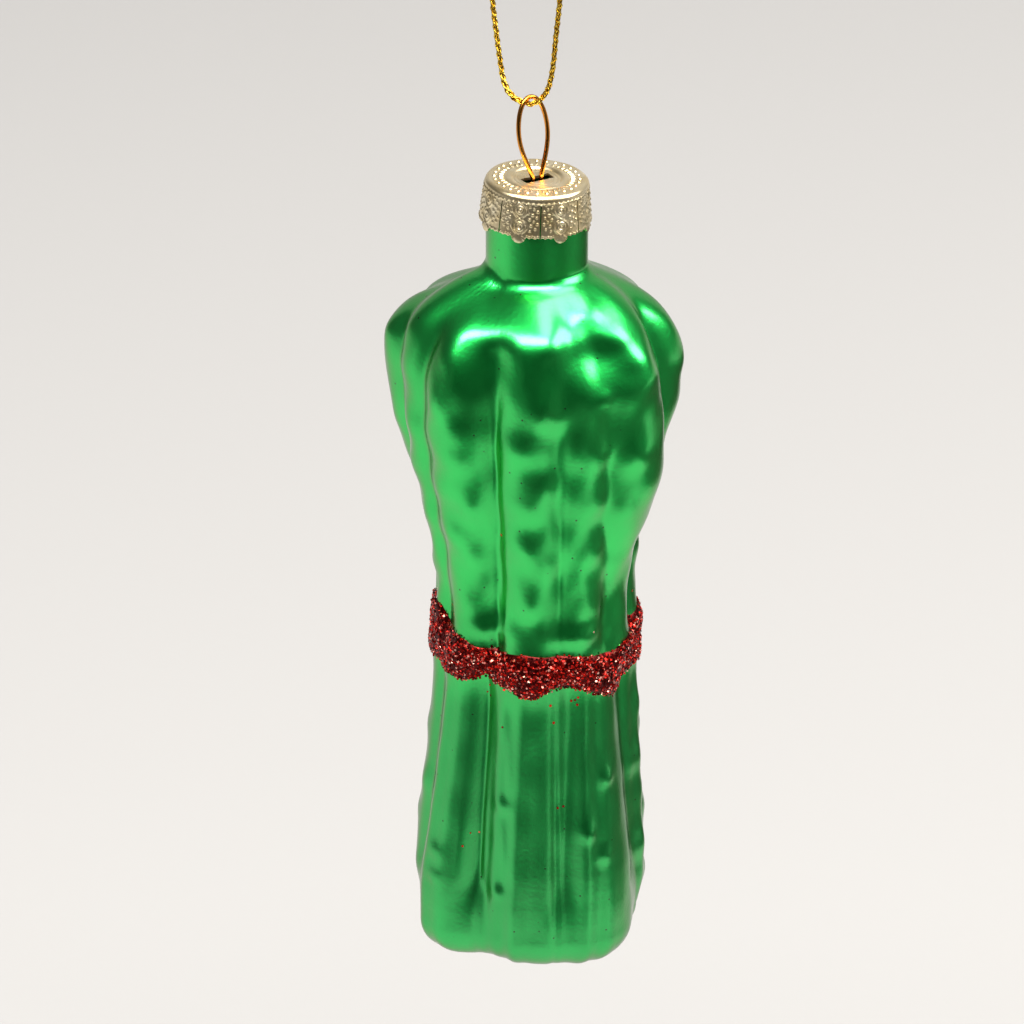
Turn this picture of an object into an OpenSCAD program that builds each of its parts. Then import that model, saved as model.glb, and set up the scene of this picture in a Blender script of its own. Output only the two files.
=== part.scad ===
// Blown-glass ornament: a tied bundle of gherkins, hung by a cap, a spring wire and a cord loop.
// Origin: where a hook bears inside the top of the cord loop. +Z is up, -Y is the front.

/* [Glass body] */
// Nominal width of the bundle across its shoulders
shoulder_w = 36; // [30:0.5:42]
// Width of the bundle at its tied waist, under the ridge
waist_w = 26.6; // [23:0.2:29]
// Nominal width of the bundle across its foot
foot_w = 31.5; // [28:0.5:36]
// Height of the bundle, from the root of the neck to the foot
body_h = 98.2; // [85:0.2:115]
// Radius of the foot's lower edge
foot_round = 5; // [3:0.5:7]
// How far the moulded ridge stands out at the waist
ridge_out = 0.6; // [0.3:0.1:1]
// Half the height of the moulded ridge
ridge_half = 3.2; // [2:0.2:4.5]
// Wall of the blown glass
wall = 0.8; // [0.6:0.1:1.1]

/* [Neck] */
// Outer diameter of the neck where it shows
neck_d = 13; // [12:0.1:14]
// How much nearer the axis the neck's rim lies, inside the cap
rim_in = 0.3; // [0.1:0.05:0.6]
// Wall of the neck
neck_wall = 1.1; // [0.8:0.1:1.4]
// Height of the neck, from its root to its rim
neck_h = 11; // [9:0.5:14]
// Height of the tapered rim at the top of the neck
rim_h = 4; // [2:0.5:5]

/* [Glitter band] */
// Thickness of the glue and glitter on the ridge
band_t = 0.5; // [0.3:0.05:0.8]
// Height of the band above the middle of the ridge
band_up = 3.6; // [2.5:0.1:5]
// Height of the band below the middle of the ridge
band_down = 3.4; // [2.5:0.1:5]
// How far the drips of its lower edge run down
drip = 1.3; // [0:0.1:2]
// Space left between the band and the facets of the glass
band_gap = 0.1; // [0.06:0.02:0.2]

/* [Cap] */
// Height of the cap without its tabs
cap_h = 5.4; // [4.5:0.1:7]
// Thickness of the tinplate
sheet = 0.25; // [0.2:0.05:0.4]
// Radius of the fold between top and skirt
cap_fold = 0.6; // [0.4:0.1:1]
// How many petals the skirt has
petals = 8; // [6:1:10]
// Radius of the round tab in the middle of each petal
tab_r = 0.9; // [0.6:0.1:1.2]
// Width of the slit between two petals
slit_w = 0.16; // [0.1:0.02:0.3]
// How far the cap sits askew, in degrees
cap_tilt = 2.4; // [0:0.2:3]
// Space between the cap and the neck's rim, where they come nearest
rim_gap = 0.15; // [0.1:0.05:0.5]
// Space between the skirt's lower edge and the neck, where they come nearest
skirt_gap = 0.08; // [0.06:0.02:0.3]
// Radius of the raised ring on the cap's top
bead_ring_r = 3.6; // [3.2:0.1:4.2]
// Width of the raised ring
bead_ring_w = 0.8; // [0.5:0.1:1]
// Height of the raised ring, and depth of the dish inside it
bead_ring_h = 0.25; // [0.15:0.05:0.35]
// Length of the slot for the wire
slot_l = 4.2; // [3.8:0.1:4.8]
// Width of the slot for the wire
slot_w = 1.5; // [1.3:0.1:1.8]

/* [Hanger wire] */
// Diameter of the spring wire
wire_d = 0.6; // [0.5:0.05:0.8]
// Height of the wire's loop above the cap, to the middle of the wire
eye_h = 10.5; // [9:0.5:13]
// Width of the wire's loop, between the middles of the wire
eye_w = 4.3; // [3.8:0.1:4.8]
// Distance between the two legs where they pass the slot
pinch_w = 1.3; // [1.1:0.1:1.6]
// Length of the legs below the cap's top
leg_l = 17; // [14:0.5:20]
// Space between the spread legs and the neck's bore
leg_gap = 0.25; // [0.15:0.05:0.4]
// Turn of the wire and its slot from the front, in degrees
wire_turn = 33.6; // [0:0.2:60]

/* [Cord] */
// Diameter of the metallic cord
cord_d = 0.75; // [0.6:0.05:0.9]
// Space between the cord and the wire that rests on it
eye_gap = 0.12; // [0.08:0.02:0.3]
// Turn of the loop's plane from the front, in degrees
cord_turn = -30; // [-40:1:-20]
// Height of the knot's wraps
knot_h = 2.4; // [2:0.1:3.2]
// How many wraps the knot shows
knot_wraps = 3; // [2:1:4]
// Length of the two tails above the knot
tail_l = 6.5; // [4:0.5:9]

/* [Hidden] */
$fn = 64;

// Overrun of cuts
over = 1;

// Places of the plumb line, the cap and the neck
loop_drop = 50;
// The neck stands off the plumb line, so that the weight of the glass hangs under the loop
neck_x = 1.2;
neck_y = -0.8;
cap_z = -loop_drop + (cord_d + wire_d) / 2 + eye_gap - eye_h;

// Radii and levels of the bundle
shoulder_r = shoulder_w / 2;
waist_r = waist_w / 2;
foot_r = foot_w / 2;
neck_r = neck_d / 2;
rim_r = neck_r - rim_in;
bore_r = neck_r - neck_wall;
cap_top_r = rim_r + rim_gap + sheet;
cap_low_r = neck_r + skirt_gap + sheet + cap_h * sin(cap_tilt);
rim_z = cap_z - sheet - rim_gap - rim_r * sin(cap_tilt);
root_z = rim_z - neck_h;
waist_share = 0.5375;
waist_t = body_h * waist_share;
core_share = 0.55;
core_r = foot_r * core_share;
// Sharpness of the grooves between the gherkins
groove_power = 36;
// Half of the level over which the upper and the lower bundle change over, as a share of the ridge
change_share = 0.9;
change_half = ridge_half * change_share;

// The gherkins above the tie. Each row has the azimuth from the front, positive to the right,
// then the reach and the radius as shares of shoulder_r, then the levels of its top, its widest
// place and its end at the waist as shares of body_h, and the roundness of its top.
upper_shares = [
    [-2, 0.855, 0.30, 0.008, 0.155, 0.487, 0.6],
    [-48, 0.955, 0.30, 0.013, 0.165, 0.467, 0.8],
    [-76, 0.980, 0.245, 0.003, 0.142, 0.467, 0.7],
    [-101, 1.100, 0.267, 0.020, 0.132, 0.467, 1.3],
    [-129, 1.033, 0.29, 0.020, 0.132, 0.467, 1.2],
    [-163, 0.940, 0.29, 0.010, 0.132, 0.467, 1.0],
    [157, 0.910, 0.29, 0.012, 0.132, 0.467, 1.0],
    [124, 0.930, 0.29, 0.012, 0.130, 0.467, 1.0],
    [97, 1.040, 0.267, 0.004, 0.165, 0.39, 1.1],
    [58, 1.005, 0.33, 0.004, 0.23, 0.45, 0.62],
    [28, 0.880, 0.30, 0.004, 0.19, 0.467, 1.0]
];
// Swells and hollows of the shoulders' front: azimuth, level as a share of body_h, then height,
// half width and half length as shares of shoulder_r
swell_shares = [
    [2, 0.018, -0.044, 0.39, 0.056],
    [2, 0.047, 0.039, 0.39, 0.10],
    [-40, 0.049, 0.044, 0.28, 0.10],
    [33, 0.026, 0.039, 0.14, 0.078],
    [44, 0.059, 0.039, 0.144, 0.10],
    [53, 0.094, 0.050, 0.144, 0.11],
    [33, 0.076, -0.033, 0.167, 0.144]
];
// The gherkins below the tie: azimuth, reach and radius as shares of foot_r, widest level as a
// share of body_h, and the height of the blunt end as a share of body_h.
lower_shares = [
    [-4, 0.959, 0.406, 0.896, 0],
    [-54, 1.149, 0.387, 0.916, 0],
    [-86, 1.035, 0.292, 0.866, 0.122],
    [-110, 1.041, 0.305, 0.876, 0.081],
    [-138, 1.016, 0.330, 0.896, 0],
    [-167, 1.003, 0.330, 0.896, 0],
    [163, 1.003, 0.330, 0.896, 0],
    [134, 1.003, 0.330, 0.896, 0],
    [106, 0.978, 0.305, 0.876, 0.081],
    [78, 0.959, 0.279, 0.896, 0.112],
    [36, 1.054, 0.444, 0.896, 0]
];
// How far the blunt ends draw in, as a share of their height
blunt_share = 0.5;
// How fast the lower bundle spreads from the waist
spread_power = 1.3;

// Facets of the glass
around = 60;
shoulder_rows = 10;
chest_rows = 10;
tie_rows = 8;
leg_rows = 9;
foot_rows = 4;
sole_shares = [0.7, 0.35];
shoulder_share = 0.172;
tie_share = 1.7;

// A smooth step from 0 to 1
function ease(u) = let(v = max(0, min(1, u))) (1 - cos(180 * v)) / 2;
function total(list) = list * [for (item = list) 1];

// How far a circle of radius rad reaches from the axis at azimuth a, when it stands at azimuth az
function circle_reach(a, az, reach, rad) =
    let(c = reach - rad, s = rad * rad - pow(c * sin(a - az), 2))
    max(reach / 1000, c * cos(a - az) + sqrt(max(s, 0)));

// Size of one upper gherkin's circle at level t, as its reach from the axis
function upper_size(row, t) =
    let(reach = row[1] * shoulder_r, top = row[3] * body_h, wide = row[4] * body_h,
        low = row[5] * body_h, g = max(0, min(1, (t - top) / (wide - top))))
    t < wide ? neck_r + (reach - neck_r) * pow(1 - pow(1 - g, 3), row[6])
             : reach + (waist_r - reach) * ease((t - wide) / (low - wide));

function upper_r(a, t) =
    shoulder_r * pow(pow(neck_r / shoulder_r, groove_power) + total([for (row = upper_shares)
        let(size = upper_size(row, t) / row[1] / shoulder_r,
            r = circle_reach(a, row[0], row[1] * shoulder_r, row[2] * shoulder_r))
        pow(r * size / shoulder_r, groove_power)]), 1 / groove_power);

function lower_r(a, t) =
    foot_r * pow(pow(core_r / foot_r, groove_power) + total([for (row = lower_shares)
        let(reach = row[1] * foot_r,
            u = max(0, min(1, (t - waist_t) / (row[3] * body_h - waist_t))),
            blunt = max(row[4], 0.01) * body_h,
            q = max(0, min(1, (t - body_h + blunt) / blunt)),
            size = waist_r + (reach - waist_r) * pow(u, spread_power)
                - row[4] * body_h * blunt_share * (1 - sqrt(1 - q * q)),
            r = circle_reach(a, row[0], reach, row[2] * foot_r))
        pow(r * size / reach / foot_r, groove_power)]), 1 / groove_power);

// Swells at azimuth a, level t, where the radius is r
function swell(a, t, r) = shoulder_r * total([for (row = swell_shares)
    let(turn = abs((a - row[0] + 540) % 360 - 180),
        side = turn * PI / 180 * r / shoulder_r / row[3],
        up = (t - row[1] * body_h) / shoulder_r / row[4])
    row[2] * exp(-side * side - up * up)]);

// Outer radius of the glass at azimuth a, level t below the root of the neck
function body_r(a, t) =
    let(mix = ease((t - waist_t + change_half) / (2 * change_half)),
        bare = (mix < 1 ? upper_r(a, t) * (1 - mix) : 0) + (mix > 0 ? lower_r(a, t) * mix : 0))
    bare + swell(a, t, bare) + ridge_out * exp(-pow((t - waist_t) / ridge_half, 2));

// Inner radius: a wall inside the nearest parts of the outer face
function hollow_r(a, t) =
    let(step = 360 / around)
    min([for (b = [a - step, a, a + step]) for (u = [t - wall, t + wall]) body_r(b, u)]) - wall;

function azimuths() = [for (i = [0 : around - 1]) i * 360 / around];
function place(a, r, t) = [r * sin(a), -r * cos(a), -t];

// Levels of the rings, closer on the shoulders and at the tie
function levels() =
    let(shoulder_t = shoulder_share * body_h, tie_t = waist_t - tie_share * ridge_half,
        tie_end = waist_t + tie_share * ridge_half, foot_t = body_h - foot_round)
    concat([for (i = [1 : shoulder_rows]) shoulder_t * pow(i / shoulder_rows, 1.5)],
           [for (i = [1 : chest_rows]) shoulder_t + (tie_t - shoulder_t) * i / chest_rows],
           [for (i = [1 : tie_rows]) tie_t + (tie_end - tie_t) * i / tie_rows],
           [for (i = [1 : leg_rows]) tie_end + (foot_t - tie_end) * i / leg_rows]);

function outer_rings() =
    let(foot_t = body_h - foot_round, edge = [for (a = azimuths()) body_r(a, foot_t)])
    concat([[for (a = azimuths()) place(a, body_r(a, 0), 0)]],
           [for (t = levels()) [for (a = azimuths()) place(a, body_r(a, t), t)]],
           [for (k = [1 : foot_rows]) let(q = 90 * k / foot_rows)
               [for (i = [0 : around - 1]) place(azimuths()[i],
                   edge[i] - foot_round * (1 - cos(q)), foot_t + foot_round * sin(q))]],
           [for (s = sole_shares)
               [for (i = [0 : around - 1]) place(azimuths()[i],
                   (edge[i] - foot_round) * s, body_h)]]);

function inner_rings() =
    let(foot_t = body_h - foot_round, in_round = foot_round - wall,
        edge = [for (a = azimuths()) hollow_r(a, foot_t)])
    concat([[for (a = azimuths()) place(a, bore_r, 0)]],
           [for (t = levels())
               [for (a = azimuths()) place(a, max(bore_r, hollow_r(a, t)), t)]],
           [for (k = [1 : 2]) let(q = 90 * k / 2)
               [for (i = [0 : around - 1]) place(azimuths()[i],
                   edge[i] - in_round * (1 - cos(q)), foot_t + in_round * sin(q))]]);

// Triangles between ring k and the next ring, each of n points
function band_faces(k, n, next) = [for (i = [0 : n - 1]) let(j = (i + 1) % n)
    each [[k * n + i, next * n + j, next * n + i], [k * n + i, k * n + j, next * n + j]]];

module glass_shell() {
    outer = outer_rings();
    inner = inner_rings();
    rings = concat(outer, inner);
    n_out = len(outer);
    n_all = len(rings);
    sole = n_all * around;
    points = concat([for (ring = rings) each ring],
                    [[0, 0, -body_h], [0, 0, -(body_h - wall)]]);
    faces = concat(
        [for (k = [0 : n_out - 2]) each band_faces(k, around, k + 1)],
        [for (i = [0 : around - 1])
            [(n_out - 1) * around + (i + 1) % around, sole, (n_out - 1) * around + i]],
        [for (k = [n_out : n_all - 2]) each band_faces(k + 1, around, k)],
        [for (i = [0 : around - 1])
            [(n_all - 1) * around + i, sole + 1, (n_all - 1) * around + (i + 1) % around]],
        band_faces(n_out, around, 0));
    polyhedron(points, faces);
}

module glass_body() {
    color("seagreen") translate([neck_x, neck_y, root_z]) {
        glass_shell();
        rotate_extrude() polygon([
            [bore_r + wall / 4, 0], [neck_r, 0], [neck_r, neck_h - rim_h],
            [rim_r, neck_h - wall / 2], [rim_r - wall / 4, neck_h],
            [bore_r + wall / 4, neck_h]]);
    }
}

// Lower edge of the glitter: drips of different lengths
function drip_at(a) = drip * (0.45 * cos(5 * (a + 8)) + 0.35 * cos(8 * a - 40) + 0.2 * cos(3 * a + 70));
function band_ring(a) =
    let(up = -band_up, down = band_down + drip_at(a), mid = (up + down) / 2, half = (down - up) / 2)
    concat([for (v = [-1 : 0.25 : 1]) let(t = waist_t + mid + half * v)
               place(a, body_r(a, t) + band_gap, t)],
           [for (v = [1 : -0.25 : -1]) let(t = waist_t + mid + half * v * 1.02)
               place(a, body_r(a, t) + band_gap + band_t * (0.2 + 0.8 * sqrt(1 - pow(v, 4))), t)]);

module glitter_band() {
    sections = [for (a = azimuths()) band_ring(a)];
    n = len(sections[0]);
    points = [for (s = sections) each s];
    faces = [for (k = [0 : around - 1]) each band_faces(k, n, (k + 1) % around)];
    color("firebrick") translate([neck_x, neck_y, root_z]) polyhedron(points, faces);
}

// Section of the stamping: the top with its raised ring and dish, the fold and the skirt
module cap_section() {
    in_r = bead_ring_r - bead_ring_w / 2;
    out_r = bead_ring_r + bead_ring_w / 2;
    half = bead_ring_w / 4;
    edge_r = cap_top_r - cap_fold;
    slope = (cap_low_r - cap_top_r) / (cap_h - cap_fold);
    low = cap_h + tab_r;
    low_r = cap_top_r + slope * (low - cap_fold);
    inner = cap_fold - sheet;
    polygon(concat(
        [[0, -bead_ring_h], [in_r - half, -bead_ring_h], [in_r + half, bead_ring_h],
         [out_r - half, bead_ring_h], [out_r + half, 0]],
        [for (a = [0 : 15 : 90]) [edge_r + cap_fold * sin(a), cap_fold * (cos(a) - 1)]],
        [[low_r, -low], [low_r - sheet, -low]],
        [for (a = [90 : -15 : 0]) [edge_r + inner * sin(a), inner * cos(a) - cap_fold]],
        [[out_r, -sheet], [out_r - half, -sheet], [in_r + half, -sheet],
         [in_r, -bead_ring_h - sheet], [0, -bead_ring_h - sheet]]));
}

// What is cut away under the petals' edge, around the round tabs
module between_tabs() {
    difference() {
        translate([0, 0, -cap_h - 2 * tab_r]) cylinder(r = 2 * cap_low_r, h = 2 * tab_r);
        for (k = [0 : petals - 1])
            rotate([0, 0, first_slit + (k + 0.5) * 360 / petals - 90])
                translate([0, 0, -cap_h + tab_r * tab_rise_share]) rotate([0, 90, 0])
                    cylinder(r = tab_r, h = 3 * cap_low_r);
    }
}

first_slit = 4.6;
tab_rise_share = 0.15;

module crown_cap() {
    color("darkkhaki") translate([neck_x, neck_y, cap_z]) rotate([0, cap_tilt, 0])
        difference() {
            rotate_extrude() cap_section();
            rotate([0, 0, wire_turn])
                cube([slot_l, slot_w, 4 * cap_fold], center = true);
            between_tabs();
            for (k = [0 : petals - 1])
                rotate([0, 0, first_slit + k * 360 / petals - 90])
                    translate([0, -slit_w / 2, -cap_h - 2 * tab_r])
                        cube([2 * cap_low_r, slit_w, cap_h + 2 * tab_r - 2 * cap_fold]);
        }
}

// A tube along points, with its rings turned from one plane's normal
function unit(v) = v / norm(v);
function tangent(pts, i) = unit(pts[min(i + 1, len(pts) - 1)] - pts[max(i - 1, 0)]);
function tube_points(pts, r, sides, normal) = [for (i = [0 : len(pts) - 1])
    let(t = tangent(pts, i), b = unit(cross(t, normal)), n = unit(cross(b, t)))
    for (k = [0 : sides - 1]) let(q = 360 * k / sides) pts[i] + r * (cos(q) * n + sin(q) * b)];

module tube(pts, r, sides, normal) {
    last = (len(pts) - 1) * sides;
    polyhedron(tube_points(pts, r, sides, normal), concat(
        [for (k = [0 : len(pts) - 2]) each band_faces(k + 1, sides, k)],
        [for (i = [1 : sides - 2]) [0, i, i + 1]],
        [for (i = [1 : sides - 2]) [last, last + i + 1, last + i]]));
}

// Half the width of the wire at height z over the cap's top, or below it
eye_mid_share = 0.57;
spread_share = 0.55;
function wire_half(z) =
    let(mid = eye_h * eye_mid_share, pinch = pinch_w / 2, wide = bore_r - wire_d / 2 - leg_gap)
    z >= mid ? eye_w / 2 * sqrt(max(0, 1 - pow((z - mid) / (eye_h - mid), 2)))
    : z >= 0 ? pinch + (eye_w / 2 - pinch) * pow(sin(90 * z / mid), 1.2)
    : pinch + (wide - pinch) * ease((-z - 2 * wire_d) / (leg_l * spread_share));

// One side of the wire, from the leg's end up to the top of the loop
function wire_side() =
    let(mid = eye_h * eye_mid_share)
    concat([for (i = [0 : 14]) let(z = -leg_l * (1 - i / 14)) [wire_half(z), z]],
           [for (i = [1 : 8]) let(z = mid * i / 8) [wire_half(z), z]],
           [for (i = [1 : 7]) let(q = 90 * i / 8)
               [eye_w / 2 * cos(q), mid + (eye_h - mid) * sin(q)]]);

// The wire leans from the slot towards the plumb line, where the cord holds it
lean_share = 0.75;
function wire_place(p) =
    let(lean = max(0, p[1]) / eye_h)
    [p[0] * cos(wire_turn) - lean * neck_x * lean_share,
     p[0] * sin(wire_turn) - lean * neck_y, p[1]];

module hanger_wire() {
    side = wire_side();
    n = len(side);
    path = concat([for (p = side) wire_place([-p[0], p[1]])],
                  [wire_place([0, eye_h])],
                  [for (i = [1 : n]) wire_place(side[n - i])]);
    color("goldenrod") translate([neck_x, neck_y, cap_z])
        tube(path, wire_d / 2, 8, [-sin(wire_turn), cos(wire_turn), 0]);
}

// The cord's route, from the knot down the left strand, through the wire's loop and back up,
// in the loop's own plane
cord_route = [
    [-0.5, 0, 1.6], [-0.55, 0, 1], [-1.1, 0, 0], [-1.8, 0, -1.4], [-2.4, 0, -3], [-3.1, 0, -5],
    [-4.2, 0, -10], [-5.1, 0, -17], [-5.5, 0, -25], [-5.4, 0, -32], [-5.1, 0, -37],
    [-4.6, 0, -41], [-4.0, 0, -45], [-3.5, 0, -47.6], [-2.7, 0, -49.1], [-1.5, 0, -49.9],
    [-0.2, 0, -50.1], [0.9, 0, -49.9], [2.1, 0, -48.9], [3.0, 0, -47.3], [3.6, 0, -44.5],
    [4.0, 0, -40.5], [4.5, 0, -36], [5.0, 0, -31], [5.2, 0, -25], [4.8, 0, -17],
    [4.0, 0, -10], [3.1, 0, -5], [2.4, 0, -3], [1.8, 0, -1.4], [1.1, 0, 0], [0.55, 0, 1],
    [0.5, 0, 1.6]
];
function route_point(i) = cord_route[max(0, min(len(cord_route) - 1, i))];
// A smooth curve through the route's points
function on_route(i, u) =
    let(a = route_point(i - 1), b = route_point(i), c = route_point(i + 1), d = route_point(i + 2))
    (2 * b + (c - a) * u + (2 * a - 5 * b + 4 * c - d) * u * u
        + (3 * b - a - 3 * c + d) * u * u * u) / 2;

module cord_loop() {
    last = len(cord_route) - 1;
    path = concat([for (i = [0 : last - 1]) for (u = [0, 0.5]) on_route(i, u)],
                  [cord_route[last]]);
    color("gold") rotate([0, 0, cord_turn]) tube(path, cord_d / 2, 8, [0, 1, 0]);
}

module cord_knot() {
    foot = cord_route[0][2];
    apart = cord_d * 0.6;
    wrap_r = cord_d * 1.15;
    step = (knot_h - cord_d) / (knot_wraps - 1);
    color("gold") rotate([0, 0, cord_turn]) translate([0, 0, foot]) {
        cylinder(r = wrap_r, h = knot_h);
        for (k = [0 : knot_wraps - 1])
            translate([0, 0, cord_d / 2 + k * step])
                rotate_extrude() translate([wrap_r, 0]) circle(d = cord_d, $fn = 24);
        for (side = [-1, 1])
            translate([side * apart, 0, knot_h - cord_d / 2])
                rotate([0, side * 14, 0]) cylinder(d = cord_d, h = tail_l + cord_d / 2, $fn = 24);
    }
}

glass_body();
glitter_band();
crown_cap();
hanger_wire();
cord_loop();
cord_knot();
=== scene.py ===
# %% [markdown]
# # A tied bundle of gherkins, blown in glass
# The finished object is a hanging ornament: a bundle of warty gherkins in green lacquered glass,
# tied with a band of red glitter, with a stamped cap, a spring wire and a braided cord. A frame
# of plain solids gives every piece its place. This lesson dresses that frame. All lengths in the
# tables are in millimetres, as a maker would measure them, and are turned into metres at the end.

import math

import bpy
import numpy as np
from mathutils import Matrix, Vector


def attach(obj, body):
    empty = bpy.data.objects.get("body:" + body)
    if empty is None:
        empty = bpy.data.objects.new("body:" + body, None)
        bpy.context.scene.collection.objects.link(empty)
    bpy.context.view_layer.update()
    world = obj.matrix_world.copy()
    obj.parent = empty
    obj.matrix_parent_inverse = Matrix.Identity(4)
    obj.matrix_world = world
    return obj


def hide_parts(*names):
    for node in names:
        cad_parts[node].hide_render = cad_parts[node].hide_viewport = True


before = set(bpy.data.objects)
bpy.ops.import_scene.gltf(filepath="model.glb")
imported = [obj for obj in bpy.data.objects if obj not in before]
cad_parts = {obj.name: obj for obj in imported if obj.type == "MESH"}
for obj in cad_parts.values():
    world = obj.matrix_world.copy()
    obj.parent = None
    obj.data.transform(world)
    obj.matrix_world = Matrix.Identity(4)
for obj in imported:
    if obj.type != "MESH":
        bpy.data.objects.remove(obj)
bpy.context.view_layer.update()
MM = 0.001
print("nodes:", sorted(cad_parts))

# %% [markdown]
# ## Measures
# The pieces hang from one another, so their places follow from a few sizes. The hook bears at
# the origin. The wire's loop rests on the cord 50 mm below it, the cap's top is one loop lower,
# and the neck's rim sits close under the cap. The neck stands a little off the plumb line,
# because the uneven bundle hangs with its weight under the cord. The gaps are what a loose fit
# leaves between two pieces.

# %% Sizes shared by the pieces, in millimetres
NECK_X, NECK_Y = 1.2, -0.8
LOOP_DROP = 50.0
CORD_D = 0.75
WIRE_D = 0.6
EYE_GAP = 0.12
EYE_H = 10.5
CAP_TILT = math.radians(2.4)
SHEET = 0.25
RIM_GAP = 0.15
SKIRT_GAP = 0.08
LEG_GAP = 0.25
NECK_R = 6.5
RIM_R = 6.2
BORE_R = 5.4
NECK_H = 11.0
CAP_Z = -LOOP_DROP + (CORD_D + WIRE_D) / 2 + EYE_GAP - EYE_H
RIM_Z = CAP_Z - SHEET - RIM_GAP - RIM_R * math.sin(CAP_TILT)
ROOT_Z = RIM_Z - NECK_H
BODY_H = 98.2
print(f"cap top {CAP_Z:.2f}, neck root {ROOT_Z:.2f}, foot {ROOT_Z - BODY_H:.2f} mm")

# %% [markdown]
# ## Camera
# The photograph was taken with a long lens from half a metre, looking down by 27 degrees. A long
# lens keeps the two sides of the bundle nearly parallel. The camera comes before the pieces,
# because each of them is judged through it.

# %% The camera stands where the photographer stood
CAMERA_BACK = 497.0
CAMERA_UP = 206.0
CAMERA_LEFT = 3.16
LOOK_DOWN = math.radians(27)
LENS = 150.0
SENSOR = 36.0
NEAREST = 10.0

camera_data = bpy.data.cameras.new("camera")
camera_data.lens = LENS
camera_data.sensor_width = SENSOR
camera_data.clip_start = NEAREST * MM
camera = bpy.data.objects.new("camera", camera_data)
bpy.context.scene.collection.objects.link(camera)
camera.location = Vector((NECK_X - CAMERA_LEFT, NECK_Y - CAMERA_BACK, CAP_Z + CAMERA_UP)) * MM
camera.rotation_euler = (math.pi / 2 - LOOK_DOWN, 0, 0)
bpy.context.scene.camera = camera
bpy.context.scene.view_settings.view_transform = "Standard"
print("camera at", [round(v, 4) for v in camera.location])

# %% [markdown]
# ## Helpers for materials
# Paints are named by the sRGB hex value that one would pick from a swatch, so one function turns
# them linear. A second function adds a shader node, sets it and links it in one line.

# %% Colour and node helpers
def linear(hex_value, alpha=1.0):
    """The linear colour of an sRGB hex value."""
    parts = [int(hex_value[i : i + 2], 16) / 255 for i in (1, 3, 5)]
    lin = [c / 12.92 if c <= 0.04045 else ((c + 0.055) / 1.055) ** 2.4 for c in parts]
    return (*lin, alpha)


def add_node(tree, kind, inputs=None, **settings):
    """A shader node with its settings; each input is linked to a socket or given a value."""
    node = tree.nodes.new(kind)
    for name, value in settings.items():
        setattr(node, name, value)
    for name, value in (inputs or {}).items():
        if isinstance(value, bpy.types.NodeSocket):
            tree.links.new(value, node.inputs[name])
        else:
            node.inputs[name].default_value = value
    return node


def new_material(name):
    """An empty material and the node tree to fill."""
    material = bpy.data.materials.new(name)
    material.use_nodes = True
    tree = material.node_tree
    tree.nodes.clear()
    return material, tree


def set_ramp(ramp, stops):
    """Gives a colour ramp the stops (place, colour)."""
    elements = ramp.color_ramp.elements
    while len(elements) > 1:
        elements.remove(elements[-1])
    elements[0].position, elements[0].color = stops[0]
    for place, colour in stops[1:]:
        elements.new(place).color = colour


print("white is", linear("#FFFFFF"))

# %% [markdown]
# ## Helpers for shapes
# Three ways of making cover all the pieces. A wire or a strand is drawn as a curve with a round
# section and made a mesh. A blown or stamped skin is a flat grid rolled up around the axis, each
# row of it a ring, and its seam is merged. What repeats thousands of times, the glitter, is one
# flake copied to many places. An operator acts on all that is selected, so each helper starts by
# clearing the selection.

# %% Shape helpers
def deselect():
    """Leaves edit mode and clears the selection."""
    if bpy.context.mode != "OBJECT":
        bpy.ops.object.mode_set(mode="OBJECT")
    bpy.ops.object.select_all(action="DESELECT")


def make_active(obj):
    """Selects one object alone."""
    deselect()
    obj.select_set(True)
    bpy.context.view_layer.objects.active = obj


def drawn(name, lines, radius, sides=8):
    """A round wire along each line of points in millimetres, with closed ends."""
    data = bpy.data.curves.new(name, "CURVE")
    data.dimensions = "3D"
    data.bevel_depth = radius * MM
    data.bevel_resolution = sides // 2 - 2
    data.use_fill_caps = True
    data.twist_mode = "MINIMUM"
    for line in lines:
        spline = data.splines.new("POLY")
        spline.points.add(len(line) - 1)
        flat = np.ones((len(line), 4))
        flat[:, :3] = np.asarray(line) * MM
        spline.points.foreach_set("co", flat.ravel())
    obj = bpy.data.objects.new(name, data)
    bpy.context.scene.collection.objects.link(obj)
    make_active(obj)
    bpy.ops.object.convert(target="MESH")
    bpy.ops.object.shade_smooth()
    return bpy.context.object


def rolled(name, columns, rows, place):
    """A grid rolled up: place(u, v) gives points in millimetres, u around and v along, 0 to 1."""
    deselect()
    bpy.ops.mesh.primitive_grid_add(x_subdivisions=columns, y_subdivisions=rows, size=1)
    obj = bpy.context.object
    obj.name = name
    mesh = obj.data
    co = np.empty(len(mesh.vertices) * 3)
    mesh.vertices.foreach_get("co", co)
    co = co.reshape(-1, 3) + 0.5
    mesh.vertices.foreach_set("co", (place(co[:, 0], co[:, 1]) * MM).ravel())
    # the seam and the poles meet to far less than this, and no other points lie so close
    bpy.ops.object.mode_set(mode="EDIT")
    bpy.ops.mesh.select_all(action="SELECT")
    bpy.ops.mesh.remove_doubles(threshold=2e-6)
    bpy.ops.mesh.dissolve_degenerate(threshold=1e-7)
    bpy.ops.mesh.normals_make_consistent(inside=False)
    bpy.ops.object.mode_set(mode="OBJECT")
    bpy.ops.object.shade_smooth()
    print(f"{name}: {len(obj.data.polygons)} faces")
    return obj


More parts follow.
